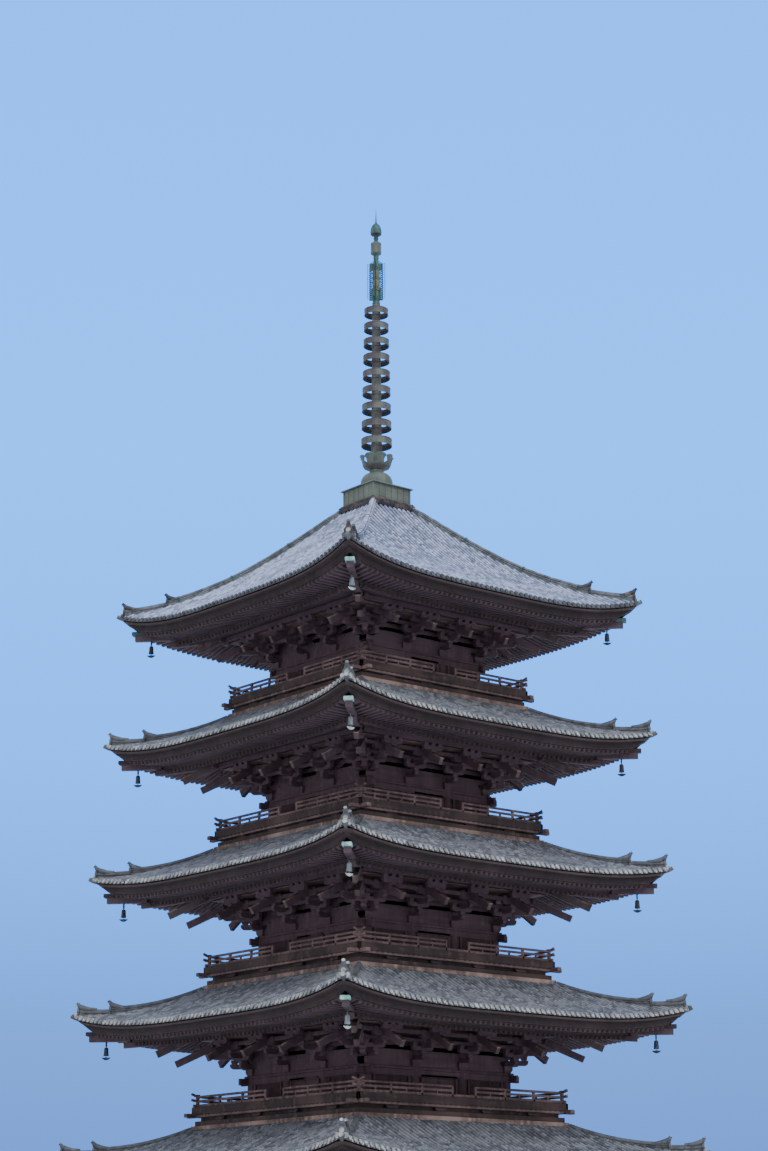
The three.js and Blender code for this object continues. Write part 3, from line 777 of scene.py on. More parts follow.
def eave_ends(s):
    """The round end tile of each row, with its raised rim, and the hanging lip between."""
    disc = rimmed(rod(0.084, 0.07, 12, rotation=ALONG_Y), Vector((0, -1, 0)), 0.022)
    shifted(disc, y=-(s.eave_half + 0.03), z=0.005)
    lip = block((0.1, 0.19), (-s.eave_half - 0.02, -s.eave_half + 0.03), (-0.13, -0.02), 0.012)
    count = 2 * int((s.eave_half - 0.22) / TILE_PITCH) + 1
    ends = centred_row(joined([disc, lip]), count, TILE_PITCH)
    return bend_to(four_sides(ends), s, s.tile_z, s.tile_lift)


# A ridge's right half, (sideways, up) from its foot: flat courses and a round cap
RIDGE_HALF = [
    (0.16, -0.12), (0.16, 0.04), (0.125, 0.05), (0.125, 0.09), (0.145, 0.1), (0.145, 0.13),
    (0.125, 0.14), (0.125, 0.18), (0.15, 0.19), (0.15, 0.22), (0.1, 0.23), (0.085, 0.3),
]
LOW_RIDGE_HALF = [
    (0.14, -0.12), (0.14, 0.06), (0.115, 0.07), (0.115, 0.12), (0.14, 0.13), (0.14, 0.17),
    (0.1, 0.18), (0.08, 0.27),
]
TOP_RIDGE_SUNK = 0.08
LOWER_RIDGE_SUNK = 0.21


def whole_outline(half, top, wider=1.0):
    right = [(side * wider, up) for side, up in half]
    return [*right, (0, top), *[(-side, up) for side, up in reversed(right)]]


def ridge_line(s, start, end, count, lift, sunk):
    """Stations down the hip, turned to its slope, sunk at the start and lifted at the end."""
    line = []
    for i in range(count + 1):
        share = i / count
        reach, z, tilt = s.hip_slope(start + (end - start) * share)
        line.append((reach, z + lift * share**5 - sunk * (1 - share), tilt, 1.0))
    return line


def round_end(radius, thick, place, tilt):
    """A round end tile with a raised rim, its face turned along +x and up by tilt."""
    disc = rimmed(rod(radius, thick, 14, rotation=ALONG_X), Vector((1, 0, 0)), 0.3 * radius)
    disc.data.transform(Matrix.Rotation(-tilt, 4, "Y"))
    return shifted(disc, *place)


def end_tile(reach, z, size):
    """The plate that closes a ridge, its shoulders and the short tube that curves up over it,
    then the disc on the plate and the one on the tube; z is the ridge's top there."""
    plate = rod(0.2 * size, 0.1 * size, 14, rotation=ALONG_X)
    points = points_of(plate)
    points[:, 0] += 0.12 * np.abs(points[:, 2]) ** 1.5
    points[:, 1] *= 1.1
    set_points(plate, points)
    feet = [
        block((-0.05 * size, 0.05 * size), (low * size, high * size),
              (-0.28 * size, -0.08 * size), 0.03 * size)
        for low, high in ((0.1, 0.28), (-0.28, -0.1))
    ]
    plate = shifted(joined([plate, *feet]), z=-0.17 * size)
    line = [(-0.9, -0.07, 0.0, 1.0), (-0.55, -0.06, 0.1, 1.3), (-0.28, -0.01, 0.25, 1.55),
            (-0.12, 0.05, 0.5, 1.5), (0.0, 0.14, 0.8, 1.15), (0.07, 0.26, 1.1, 0.74)]
    horn = swept(circle(0.095), [(x * size, h * size, tilt, g * size) for x, h, tilt, g in line])
    tile = shifted(joined([plate, smoothed(horn, 50)]), x=reach, z=z)
    face = round_end(0.115 * size, 0.05, (reach + 0.06 * size, 0, z - 0.17 * size), 0.0)
    tip = round_end(0.085 * size, 0.03, (reach + 0.115 * size, 0, z + 0.27 * size), 0.7)
    return tile, face, tip


def hips(s):
    """Both steps of all four hip ridges, their end plates, the discs on the plates and the
    round ends of the tubes."""
    start, count, sunk = s.base_half + 0.02, 8, LOWER_RIDGE_SUNK
    if s.top:
        start, count, sunk = s.base_half - 0.04, 14, TOP_RIDGE_SUNK
    end = s.eave_half - 0.19
    upper = swept(
        whole_outline(RIDGE_HALF, RIDGE_HEIGHT + 0.03),
        ridge_line(s, start, s.ridge_step, count, 0.03, sunk),
    )
    lower = swept(
        whole_outline(LOW_RIDGE_HALF, 0.33), ridge_line(s, s.ridge_step - 0.15, end, 6, 0.02, 0.1)
    )
    tiles, faces, ends = [], [], []
    for half, tall, size in ((s.ridge_step, 0.35, 1.0), (end, 0.34, 0.95)):
        reach, z = s.on_hip(half)
        for kind, made in zip((tiles, faces, ends), end_tile(reach + 0.02, z + tall, size)):
            kind.append(made)
    # The round tile at the very corner, turned up under the lower ridge's end, between the
    # last tiles of both sides
    reach = s.tip_half * DIAGONAL
    top = s.corner_z + TILE_EDGE
    tongue = swept(circle(0.09), [
        (reach - 0.85, top - 0.3, 0.1, 1), (reach - 0.42, top - 0.22, 0.25, 1),
        (reach - 0.12, top - 0.12, 0.45, 1), (reach + 0.05, top - 0.03, 0.55, 1.05),
    ])
    ends.append(round_end(0.1, 0.03, (reach + 0.055, 0, top - 0.02), 0.45))
    for side in (-1, 1):
        ends.append(round_end(0.12, 0.1, (reach - 0.2, 0.17 * side, top - 0.03), 0.1))
    groups = ([upper, lower, tongue], tiles, faces, ends)
    return [four_corners(joined(pieces)) for pieces in groups]


def hip_bands(s):
    """Thin green bronze straps over the ridges of the top roof."""
    straps = []
    for half in (3.0, 4.98, 6.78, 8.26):
        reach, z, tilt = s.hip_slope(half)
        outline = whole_outline(LOW_RIDGE_HALF, 0.36, 1.2)
        if half < s.ridge_step:
            z -= TOP_RIDGE_SUNK * (1 - half / s.ridge_step)
            outline = whole_outline(RIDGE_HALF, 0.355, 1.12)
        straps.append(swept(outline, [
            (reach - 0.05, z + 0.02, tilt, 1), (reach + 0.05, z - 0.01, tilt, 1),
        ]))
    return four_corners(joined(straps))


for s in storeys:
    roof = f"roof_{s.number}"
    finish, gaps, end_finish = lower_tile, lower_gap_shade, eave_tile
    if s.top:
        finish, gaps, end_finish = top_tile_skylit, top_gap_shade, ridge_tile
    # The bed seen between the rows takes the darker gap finish: painted shade.
    dress(tile_bed(s), f"{roof}_bed", "roof_tile", gaps, f"{roof}_tiles")
    dress(tile_rows(s), f"{roof}_rows", "roof_tile", finish)
    dress(eave_ends(s), f"{roof}_end_tiles", "roof_tile", end_finish)
    ridges, plates, discs, tube_ends = hips(s)
    dress(plates, f"{roof}_end_plates", "roof_tile", foot_tile if s.top else ridge_tile)
    dress(discs, f"{roof}_ridge_discs", "roof_tile", eave_tile)
    dress(tube_ends, f"{roof}_tube_ends", "roof_tile", end_finish)
    if s.top:
        # The upper ridges' faces that look up get the roof's pale tile: painted light on their tops.
        shown = s.ridge_step - 0.35
        dress(ridges, f"{roof}_ridges", "roof_tile", (hip_tile_lightened, top_tile_skylit),
              which=lambda face: face.normal.z > 0.45 and square_half(face.center) < shown)
        dress(hip_bands(s), f"{roof}_bands", "spire_bronze", green_bronze)
    else:
        dress(ridges, f"{roof}_ridges", "roof_tile", ridge_tile)


# Eaves
def rafters(s, inner, outer, depth, level):
    """One tier of close parallel rafters on all four sides."""
    one = block((-0.06, 0.06), (-outer, -inner), (0, depth))
    creased_across(one, inner, outer, (0.35, 0.7))
    tier = centred_row(one, 2 * int(outer / RAFTER_PITCH) + 1, RAFTER_PITCH)
    return bend_to(four_sides(between_hips(tier)), s, level, s.rafter_lift)


def eave_timber(s):
    """Both tiers of rafters with the boards over them and the beam on the lower tier's ends,
    the curved edge beam, and the boards under the tiles."""
    wall, tip, edge = s.outer_half + 0.002, s.rafter_tip, s.eave_half

    def ring(inner, outer, low, thick, level, cuts=40):
        made = shifted(flat_ring(inner, outer, cuts, thick), z=low)
        return bend_to(made, s, level, s.rafter_lift)

    made = [
        joined([
            rafters(s, wall, tip, 0.15, s.rafter_z),
            rafters(s, tip - 0.35, edge - FLYING_INSET, 0.16, s.flying_z),
            ring(wall, tip - 0.06, 0.09, 0.05, s.rafter_z, 30),
            ring(tip - 0.35, edge - 0.4, 0.1, 0.05, s.flying_z, 36),
            ring(tip - 0.2, tip - 0.05, 0.15, 0.13, s.rafter_z, 36),
        ]),
        ring(edge - 0.46, edge - 0.28, -0.37, 0.26, s.eave_z),
        joined([
            ring(edge - 0.44, edge - 0.31, -0.415, 0.05, s.eave_z),
            ring(edge - 0.4, edge - 0.025, -0.115, 0.09, s.eave_z),
        ]),
    ]
    # The corners are cut back on a slant over the nose of the hip beam.
    nose, top = s.hip_beam_tip()
    reach = (nose - 0.1) / DIAGONAL
    for piece in made:
        for x, y in CORNERS:
            cut(piece, (x * reach, y * reach, top + 0.16), (0.246 * x, 0.246 * y, -0.48))
    return made


def box_outline(width, depth):
    """A beam's outline hung below its line, with eased edges."""
    w, e = width / 2, 0.018
    return [(-w + e, -depth), (w - e, -depth), (w, -depth + e), (w, -e), (w - e, 0),
            (-w + e, 0), (-w, -e), (-w, -depth + e)]


def hip_rafters(s):
    """The two-tier beam under each corner, and the small green roof on its tip."""
    low = []
    start = s.purlin_half + 0.3
    for i in range(6):
        half = start + (s.rafter_tip + 0.15 - start) * i / 5
        low.append((*s.on_rafter_hip(half, s.rafter_z(half) + 0.12), 0, 1))
    tip, top = s.hip_beam_tip()
    high = [(tip - 1.9, top, 0, 1), (tip + 0.06, top, 0, 1)]
    beam = joined([swept(box_outline(0.3, 0.24), low), swept(box_outline(0.3, 0.31), high)])
    cap = block((tip - 0.32, tip + 0.22), (-0.215, 0.215), (top - 0.03, top + 0.15), 0.025)
    return four_corners(beam), four_corners(cap)


def bell_hangers(s):
    """Two ears and a pin under each hip rafter."""
    reach, z = s.bell_pin()
    parts = [rod(0.015, 0.056, 16, (reach, 0, z), ALONG_Y)]
    for side in (-1, 1):
        across = (side * 0.028 - 0.01, side * 0.028 + 0.01)
        parts.append(block((reach - 0.036, reach + 0.036), across, (z - 0.036, z + 0.3), 0.006))
        parts.append(rod(0.024, 0.01, 6, (reach, side * 0.042, z), ALONG_Y))
    return four_corners(joined(parts))


# Brackets
def bearing_block(x, y, z, size, tall):
    """A square block whose lower half draws in."""
    half = size / 2
    made = block((x - half, x + half), (y - half, y + half), (z + tall * 0.45, z + tall))
    pick_faces(made, lambda face: face.normal.z < -0.9)
    bpy.ops.mesh.extrude_region_move(TRANSFORM_OT_translate={"value": (0, 0, -tall * 0.45)})
    bpy.ops.transform.resize(value=(0.72, 0.72, 1), center_override=(x, y, z))
    return shut(made)


def bow_arm(x, y, low, high, curve):
    """A bracket arm whose lower ends are cut to a curve; x and y are (low, high)."""
    made = block(x, y, (low, high))
    long_x = x[1] - x[0] > y[1] - y[0]
    opened(made)
    bpy.ops.mesh.select_all(action="DESELECT")
    bpy.ops.mesh.select_mode(type="EDGE")
    shape = bmesh.from_edit_mesh(made.data)
    for edge in shape.edges:
        first, second = (vertex.co for vertex in edge.verts)
        run = (second - first).normalized()
        across = abs(run.y if long_x else run.x) > 0.9
        edge.select_set(across and max(first.z, second.z) < low + 0.001)
    bmesh.update_edit_mesh(made.data)
    bpy.ops.mesh.bevel(offset=curve * 0.72, segments=3)
    bpy.ops.mesh.select_mode(type="FACE")
    return shut(made)


def cross_arm(y, z, length):
    """An arm along the wall with its three bearing blocks."""
    half = length / 2
    arm = bow_arm((-half, half), (y - 0.09, y + 0.09), z, z + 0.2, 0.2)
    blocks = [bearing_block(x, y, z + 0.2, 0.25, 0.17) for x in (-half + 0.13, 0, half - 0.13)]
    return [arm, *blocks]


def step_out(end, root, z, width=0.1, tall=0.2, over=0.16):
    """An arm that reaches outwards from the wall and ends past a bracket step."""
    return bow_arm((-width, width), (-end - over, -root), z, z + tall, tall)


def sloping(outline, y_end, z_end, slope, length, over=0.0):
    """An outline swept down a slope to its cut end; y runs outwards as -y."""
    tilt = -math.atan(slope)
    return spun(swept(outline, [
        (y_end - length, z_end + slope * length, tilt, 1),
        (y_end + over, z_end - slope * over, tilt, 1),
    ]), -90)


def tail_edge(y_end, z_end, slope, width):
    """The pale lath along the upper edges of a tail's last stretch: weathering and a painted highlight
    on the lit edge.
    """
    return sloping(rectangle(width / 2 + 0.012, -0.035, 0.02), y_end, z_end, slope, 0.46, 0.01)


def corner_tail_end(s):
    """How far out along the corner's diagonal its upper tail rafter ends."""
    return (s.purlin_half + TAIL_REACH[s.k] + CORNER_TAIL_OVER) * DIAGONAL


def tail_edges(s):
    foot, end = s.column_top, s.purlin_half + TAIL_REACH[s.k]
    lath = tail_edge(end, foot + TAIL_END_UP, TAIL_SLOPE, 0.2)
    corner = tail_edge(corner_tail_end(s), foot + CORNER_TAIL_UP, CORNER_TAIL_SLOPE, 0.22)
    return four_sides(joined([along_x(lath, s.columns), spun(corner, 45)]))


def bracket_set(s):
    """One three-stepped set, drawn on the column's axis with the wall along x."""
    foot, seat, wall = s.column_top, s.seat_z, s.column_half
    one, two, three = s.arms
    rise = (seat - 0.24 - foot - 0.34) / 3.35
    first, second = foot + 0.32, foot + 0.32 + rise
    reach = TAIL_REACH[s.k]
    top = foot + TAIL_END_UP + TAIL_SLOPE * reach
    return joined([
        bearing_block(0, -wall, foot, 0.5, 0.32),
        *cross_arm(-wall, first, 1.35),
        step_out(one, wall - 0.4, first),
        bearing_block(0, -one, first + 0.2, 0.27, 0.17),
        *cross_arm(-one, first + 0.37, 1.2),
        step_out(two, wall - 0.2, second + 0.06),
        bearing_block(0, -two, second + 0.26, 0.27, 0.17),
        *cross_arm(-two, second + 0.43, 1.2),
        sloping(rectangle(0.1, -0.32, 0), three + reach, foot + TAIL_END_UP, TAIL_SLOPE,
                three + reach - one + 0.1),
        bearing_block(0, -three, top - 0.02, 0.27, 0.12),
        bow_arm((-0.55, 0.55), (-three - 0.09, -three + 0.09), top + 0.08, seat - 0.36, 0.16),
        *[bearing_block(x, -three, seat - 0.37, 0.25, 0.14) for x in (-0.42, 0, 0.42)],
    ])


def corner_set(s):
    """The diagonal arms and two stacked tail rafters at a corner."""
    foot = s.column_top
    root = s.column_half * DIAGONAL
    one, two, three = (arm * DIAGONAL for arm in s.arms)
    low_end = three + (TAIL_REACH[s.k] - 0.06) * DIAGONAL
    high_end = corner_tail_end(s)
    tail = rectangle(0.11, -0.3, 0)
    made = joined([
        step_out(one, root - 0.3, foot + 0.34, 0.11, 0.22, 0.2),
        bearing_block(0, -one, foot + 0.56, 0.3, 0.18),
        step_out(two, root - 0.2, foot + 0.78, 0.11, 0.22, 0.2),
        bearing_block(0, -two, foot + 1.0, 0.3, 0.18),
        sloping(tail, low_end, foot + 0.72, CORNER_TAIL_SLOPE, low_end - one),
        sloping(tail, high_end, foot + CORNER_TAIL_UP, CORNER_TAIL_SLOPE, high_end - two),
        bearing_block(0, -three, foot + 1.28, 0.3, 0.2),
    ])
    return spun(cut(made, (0, 0, s.seat_z + 0.05), (0, 0, 1)), 45)


def beam_ring(half, width, low, high, over):
    """Four beams that cross at the corners and run past them by over."""
    reach = half + width / 2 + over
    across = (-half - width / 2, -half + width / 2)
    return four_sides(block((-reach, reach), across, (low, high), 0.02))


def all_brackets(s):
    foot = s.column_top
    one, two, three = s.arms
    return joined([
        four_sides(along_x(bracket_set(s), s.columns)),
        four_sides(corner_set(s)),
        beam_ring(three, 0.22, s.seat_z - 0.24, s.seat_z, 0.32),
        beam_ring(two, 0.16, foot + 1.32, foot + 1.5, 0.2),
        beam_ring(one, 0.16, foot + 1.05, foot + 1.22, 0.2),
        beam_ring(s.column_half, 0.2, foot + 0.72, foot + 0.94, 0.3),
        beam_ring(s.column_half, 0.2, foot + 1.12, foot + 1.34, 0.0),
    ])


def bracket_ceiling(s):
    """The boards between the brackets, from the wall out to the purlin."""
    ring = flat_ring(s.outer_half + 0.002, s.purlin_half - 0.1, 4, 0.03)
    return shifted(ring, z=s.seat_z - 0.3)


# Walls
def ring_wall(outer, inner, low, high, ease=0.0):
    """Four butted walls round a hollow."""
    return four_sides(block((-outer, inner), (-outer, -inner), (low, high), ease))


def louvred_window(x0, x1, face, low, high):
    """A framed window of close upright bars."""
    wide, gap = 0.11, 0.105
    deep = (face - 0.09, face + 0.05)
    parts = [block((x0, x1), deep, z, 0.012) for z in ((low, low + wide), (high - wide, high))]
    parts += [block(x, deep, (low, high), 0.012) for x in ((x0, x0 + wide), (x1 - wide, x1))]
    bar = spun(block((-0.03, 0.03), (-0.03, 0.03), (low, high)), 45)
    bars = centred_row(bar, int((x1 - x0 - 2 * wide) / gap), gap)
    return joined([*parts, shifted(bars, x=(x0 + x1) / 2, y=face - 0.035)])


def plank_door(x0, x1, face, low, high):
    """Two leaves in a frame, with rails and stiles."""
    middle = (x0 + x1) / 2
    post = 0.13
    deep = (face - 0.1, face + 0.06)
    parts = [block(x, deep, (low, high), 0.012) for x in ((x0, x0 + post), (x1 - post, x1))]
    parts.append(block((x0, x1), deep, (high - post, high), 0.012))
    for left, right in ((x0 + post, middle - 0.006), (middle + 0.006, x1 - post)):
        parts.append(block((left, right), (face - 0.03, face + 0.02), (low + 0.02, high - post)))
        for share in (0.0, 0.5, 0.93):
            z = low + 0.02 + (high - low - post) * share
            parts.append(block((left, right), (face - 0.05, face), (z, z + 0.1), 0.01))
        for x in (left, right - 0.08):
            parts.append(block((x, x + 0.08), (face - 0.05, face), (low, high - post), 0.01))
    return joined(parts)


def storey_walls(s):
    """The hollow shell with its round columns, beams, windows and upper doors."""
    low, high = s.floor_z + 0.001, float(min(s.tile_z(s.inner_half), s.tile_z(s.outer_half)))
    top, half, radius = s.column_top, s.outer_half + 0.02, COLUMN_RADIUS[s.k]
    column = smoothed(rod(radius, top - low, 20, (0, -s.column_half, (low + top) / 2),
                          end=radius * 0.97), 40)
    parts = [
        ring_wall(s.outer_half, s.inner_half, low, high - TILE_THICK - 0.01),
        four_sides(along_x(column, s.columns[:3])),
        beam_ring(half, 0.16, top - 0.42, top - 0.12, HEAD_NOSE[s.k]),
        beam_ring(half, 0.24, top - 0.12, top - 0.01, 0.1),
        beam_ring(half, 0.2, low, low + 0.2, 0.06),
    ]
    sill, head = low + 0.24, top - 0.3
    if s.k == 0:
        sill, head = low + 1.15, low + 2.95
        parts.append(beam_ring(half, 0.2, low + 3.0, low + 3.2, 0.06))
        parts.append(beam_ring(half, 0.16, low + 0.95, low + 1.1, 0.03))
    bay, face = s.column_half / 3, -s.outer_half
    side = [
        louvred_window(x - bay + radius + 0.08, x + bay - radius - 0.08, face, sill, head)
        for x in (-2 * bay, 2 * bay)
    ]
    if s.k:
        side.append(plank_door(-bay + radius + 0.06, bay - radius - 0.06, face, sill, head))
    return joined([*parts, four_sides(joined(side))])


for s in storeys:
    storey = f"storey_{s.number}"
    timber, beams, strip = eave_timber(s)
    outer_ends = ends_out(s.purlin_half + 0.25)
    # The strip and the board under the tile edge take the dark end timber: painted shade under the eave
    # tiles.
    dress(strip, f"{storey}_eave_strip", "dark_timber", end_timber)
    # The rafters' outward ends take the darker end timber: painted shade on the ends that face the
    # light.
    dress(timber, f"{storey}_rafters", "dark_timber", (rafter_timber, end_timber),
          f"{storey}_eaves", which=outer_ends)
    dress(beams, f"{storey}_eave_beams", "dark_timber", eave_edge_shade)
    hip_beams, caps = hip_rafters(s)
    dress(hip_beams, f"{storey}_hip_rafters", "dark_timber", rafter_timber)
    # The cap at the photographed corner is pale green, and the others are dark.
    dress(caps, f"{storey}_hip_caps", "spire_bronze",
          (cap_bronze, green_bronze if s.top else end_timber),
          which=lambda face: max(face.center.x, face.center.y) >= 0)
    dress(bell_hangers(s), f"{storey}_bell_hangers", "bell_bronze", bell_bronze)
    dress(all_brackets(s), f"{storey}_bracket_sets", "dark_timber", (dark_timber, bracket_end),
          f"{storey}_brackets", which=outer_ends)
    # The ceiling's paler worn timber is painted light in the shade between the brackets.
    dress(bracket_ceiling(s), f"{storey}_bracket_ceiling", "dark_timber", worn_timber)
    # The laths' pale timber is partly weathering and partly painted highlight on the lit edges.
    dress(tail_edges(s), f"{storey}_tail_laths", "worn_timber", pale_timber)
    dress(storey_walls(s), f"{storey}_frame", "dark_timber", dark_timber, f"{storey}_walls")


# Balconies
def deck_boards(s):
    """Boards laid outwards from the wall over a framed edge with its joists."""
    half, top = s.deck_half, s.deck_z
    count = 2 * int(half / BOARD_PITCH) + 1
    wide = BOARD_PITCH / 2 - 0.006
    board = block((-wide, wide), (-half + 0.1, -s.outer_half - 0.03), (top - 0.06, top))
    joist = block((-0.06, 0.06), (-half + 0.02, -half + 1.0), (top - 0.38, top - 0.23))
    boards, joists = (between_hips(centred_row(one, count, BOARD_PITCH)) for one in (board, joist))
    edge = block((-half, half), (-half, -half + 0.14), (top - 0.35, top - 0.002), 0.015)
    floor = block((-s.wall, s.wall), (-s.wall, s.wall), (top - 0.15, top - 0.02))
    return joined([four_sides(joined([boards, edge, joists])), floor])


def deck_noses(s):
    """The edge beams that cross at the corners and run out past them."""
    reach = s.deck_half + 0.46
    across = (-s.deck_half + 0.04, -s.deck_half + 0.28)
    return four_sides(block((-reach, reach), across, (s.deck_z - 0.47, s.deck_z - 0.3), 0.015))


def deck_skirt(s):
    """The boarded foot under the deck with its small brackets."""
    outer = s.deck_half - 0.32
    foot = float(storeys[s.k - 1].tile_z(outer)) - 0.12
    top = s.deck_z - 0.26
    rail = (-outer - 0.07, -outer + 0.02)
    parts = [block((-outer - 0.1, outer + 0.1), rail, (top - 0.16, top), 0.012)]
    for x in s.columns:
        parts.append(bow_arm((x - 0.34, x + 0.34), (-outer - 0.17, -outer - 0.02),
                             top - 0.36, top - 0.2, 0.16))
        for dx in (-0.26, 0, 0.26):
            parts.append(bearing_block(x + dx, -outer - 0.1, top - 0.2, 0.18, 0.14))
        parts.append(block((x - 0.09, x + 0.09), (-outer - 0.08, -outer), (foot + 0.2, top - 0.3)))
    return joined([ring_wall(outer, outer - 0.16, foot, top), four_sides(joined(parts))])


def foot_boards(s):
    """The board that stands on the tiles under the deck, and the dark one set back over it."""
    outer = RAIL_TIP_HALF[s.k]
    tiles = float(storeys[s.k - 1].tile_z(outer))
    lower = ring_wall(outer, outer - 0.09, tiles - 0.08, tiles + 0.18, 0.01)
    return lower, ring_wall(outer - 0.14, outer - 0.23, tiles + 0.1, tiles + 0.4, 0.01)


def rail_line(s, z, lift):
    """Stations along +x for a rail that turns up past the corner."""
    tip = RAIL_TIP_HALF[s.k] + RAIL_TIP_OVER
    knee = RAIL_TIP_HALF[s.k] - RAIL_INSET - 0.3
    line = [(RAIL_GAP_HALF, z, 0.0, 1.0), (knee, z, 0.0, 1.0)]
    for share in (0.35, 0.7, 1.0):
        tilt = 2 * lift * share / (tip - knee)
        line.append((knee + (tip - knee) * share, z + lift * share**2, tilt, 1.0))
    return line


def railing(s):
    """Sill, middle and round top rails with posts; the upper two stop at a gap mid-side."""
    rail = RAIL_TIP_HALF[s.k] - RAIL_INSET
    base = s.deck_z + 0.002
    parts = [
        swept(circle(0.057), rail_line(s, base + 0.47, 0.13)),
        swept(rectangle(0.045, -0.05, 0.05), rail_line(s, base + 0.28, 0.05)),
        block((0, rail + 0.25), (-0.05, 0.05), (base, base + 0.13), 0.012),
    ]
    bays = 3
    for i in range(bays + 1):
        x = RAIL_GAP_HALF + 0.06 + (rail - RAIL_GAP_HALF - 0.06) * i / bays
        if i < bays:
            parts.append(block((x - 0.055, x + 0.055), (-0.05, 0.05), (base, base + 0.43), 0.01))
            parts.append(bearing_block(x, 0, base + 0.36, 0.12, 0.07))
        if i:
            back = x - (rail - RAIL_GAP_HALF) / bays / 2
            strut = (back - 0.035, back + 0.035)
            parts.append(block(strut, (-0.035, 0.035), (base + 0.1, base + 0.26)))
    half = shifted(joined(parts), y=-rail)
    return four_sides(joined([
        half, copied(half, Matrix.Diagonal((-1, 1, 1, 1))),
        block((rail - 0.07, rail + 0.07), (-rail - 0.07, -rail + 0.07), (base, base + 0.53), 0.015),
        bearing_block(rail, -rail, base + 0.53, 0.17, 0.05),
    ]))


# Spire
def spire_box():
    """The sheeted box with its upright seams and thin overhanging plate."""
    low, high = box_seat_z + 0.02, BOX_TOP_Z - 0.01
    seams = [block((x - 0.018, x + 0.018), (-1.182, -1.1), (low, high))
             for x in np.linspace(-0.78, 0.78, 5)]
    for z in (box_seat_z + 0.45, box_seat_z + 0.8):
        seams.append(block((-1.168, 1.168), (-1.168, -1.1), (z - 0.006, z + 0.006)))
    corner = block((-1.19, -1.1), (-1.19, -1.1), (low, high), 0.01)
    return joined([
        block((-1.16, 1.16), (-1.16, 1.16), (low, BOX_TOP_Z)),
        four_sides(joined([eased(joined(seams), 0.005), corner])),
        block((-1.28, 1.28), (-1.28, 1.28), (BOX_TOP_Z, BOX_TOP_Z + 0.065), 0.012),
    ])


def box_foot():
    """Two rows of scalloped tiles over the joint between the box and the roof."""
    seat = box_seat_z
    parts = [ring_wall(1.34, 1.195, seat - 0.1, seat + 0.24)]
    for half, z, count in ((1.36, seat + 0.02, 15), (1.3, seat + 0.17, 14)):
        scallop = rod(0.085, 0.1, 10, (0, -half, z), (math.pi / 2 + 0.35, 0, 0))
        parts.append(four_sides(centred_row(scallop, count, 2 * (half - 0.05) / (count - 1))))
    cover = block((-1.3, 1.3), (-1.3, -1.19), (seat + 0.22, seat + 0.33), 0.03)
    return joined([*parts, four_sides(cover)])


def spire_bowl():
    return turned([
        (0, 0), (0.8, 0), (0.815, 0.04), (0.795, 0.08), (0.8, 0.28), (0.79, 0.42), (0.76, 0.54),
        (0.69, 0.67), (0.58, 0.77), (0.45, 0.83), (0.38, 0.86), (0.35, 0.9), (0.36, 1.0),
        (0.34, 1.02), (0, 1.02),
    ], 40, BOWL_FOOT_Z)


def spire_flower():
    """The lotus cup: a dish, eight broad upright petals with openings between their waists,
    and the stem inside."""
    cup = turned([
        (0, 0), (0.33, 0), (0.37, 0.02), (0.5, 0.07), (0.62, 0.15), (0.655, 0.22), (0.63, 0.24),
        (0.5, 0.17), (0.34, 0.14), (0.29, 0.2), (0.27, 0.5), (0.3, 0.62), (0.3, 0.84), (0, 0.84),
    ], 32, FLOWER_FOOT_Z)
    petal = grid(6, 10)
    points = points_of(petal)
    across, up = points[:, 0] * 2, points[:, 1] + 0.5
    spread = np.radians(np.interp(up, [0, 0.3, 0.55, 0.8, 0.92, 1], [23, 14, 15, 22.4, 17, 6]))
    reach = np.interp(up, [0, 0.2, 0.5, 0.8, 1], [0.62, 0.69, 0.735, 0.785, 0.86])
    bulge = 0.03 * across**2 * up
    turn = across * spread
    set_points(petal, np.stack([
        (reach - bulge) * np.cos(turn), (reach - bulge) * np.sin(turn),
        FLOWER_FOOT_Z + 0.15 + 0.56 * up + bulge,
    ], axis=1))
    modifier(petal, "SOLIDIFY", thickness=0.035, offset=0)
    return joined([cup, round_copies(spun(petal, 22.5), 8)])


def spire_rings():
    """The mast and its nine plain bands, each carried by four thin spokes."""
    parts = [turned([(0, 41.6), (0.28, 41.6), (0.26, 42.6), (0.2, 49.3), (0.2, 49.62), (0, 49.62)], 20)]
    for i in range(RING_COUNT):
        share = i / (RING_COUNT - 1)
        radius, tall = 0.6 + 0.163 * share, 0.34 + 0.04 * share
        top = RING_TOP_Z - RING_PITCH * i - RING_SPREAD * i * i
        low = top - tall
        band = [(-0.035, 0.02), (-0.01, 0), (0.01, 0.012), (0.01, 0.045), (-0.006, 0.06),
                (-0.006, tall - 0.05), (0.008, tall - 0.04), (0.008, tall - 0.012),
                (-0.01, tall), (-0.035, tall - 0.02), (-0.035, 0.02)]
        parts.append(turned([(radius + out, z) for out, z in band], 40, low))
        mast = 0.26 - 0.06 * (top - 42.6) / 6.7
        parts.append(turned([(mast - 0.02, 0), (mast + 0.03, 0.02), (mast + 0.03, 0.12),
                             (mast - 0.02, 0.14)], 20, low))
        spoke = block((mast - 0.02, radius - 0.02), (-0.014, 0.014), (top - 0.2, top - 0.15))
        stud = rod(0.018, 0.03, 6, (radius + 0.002, 0, (top + low) / 2), ALONG_X)
        parts += [four_sides(spoke), round_copies(stud, 12)]
    return joined(parts)


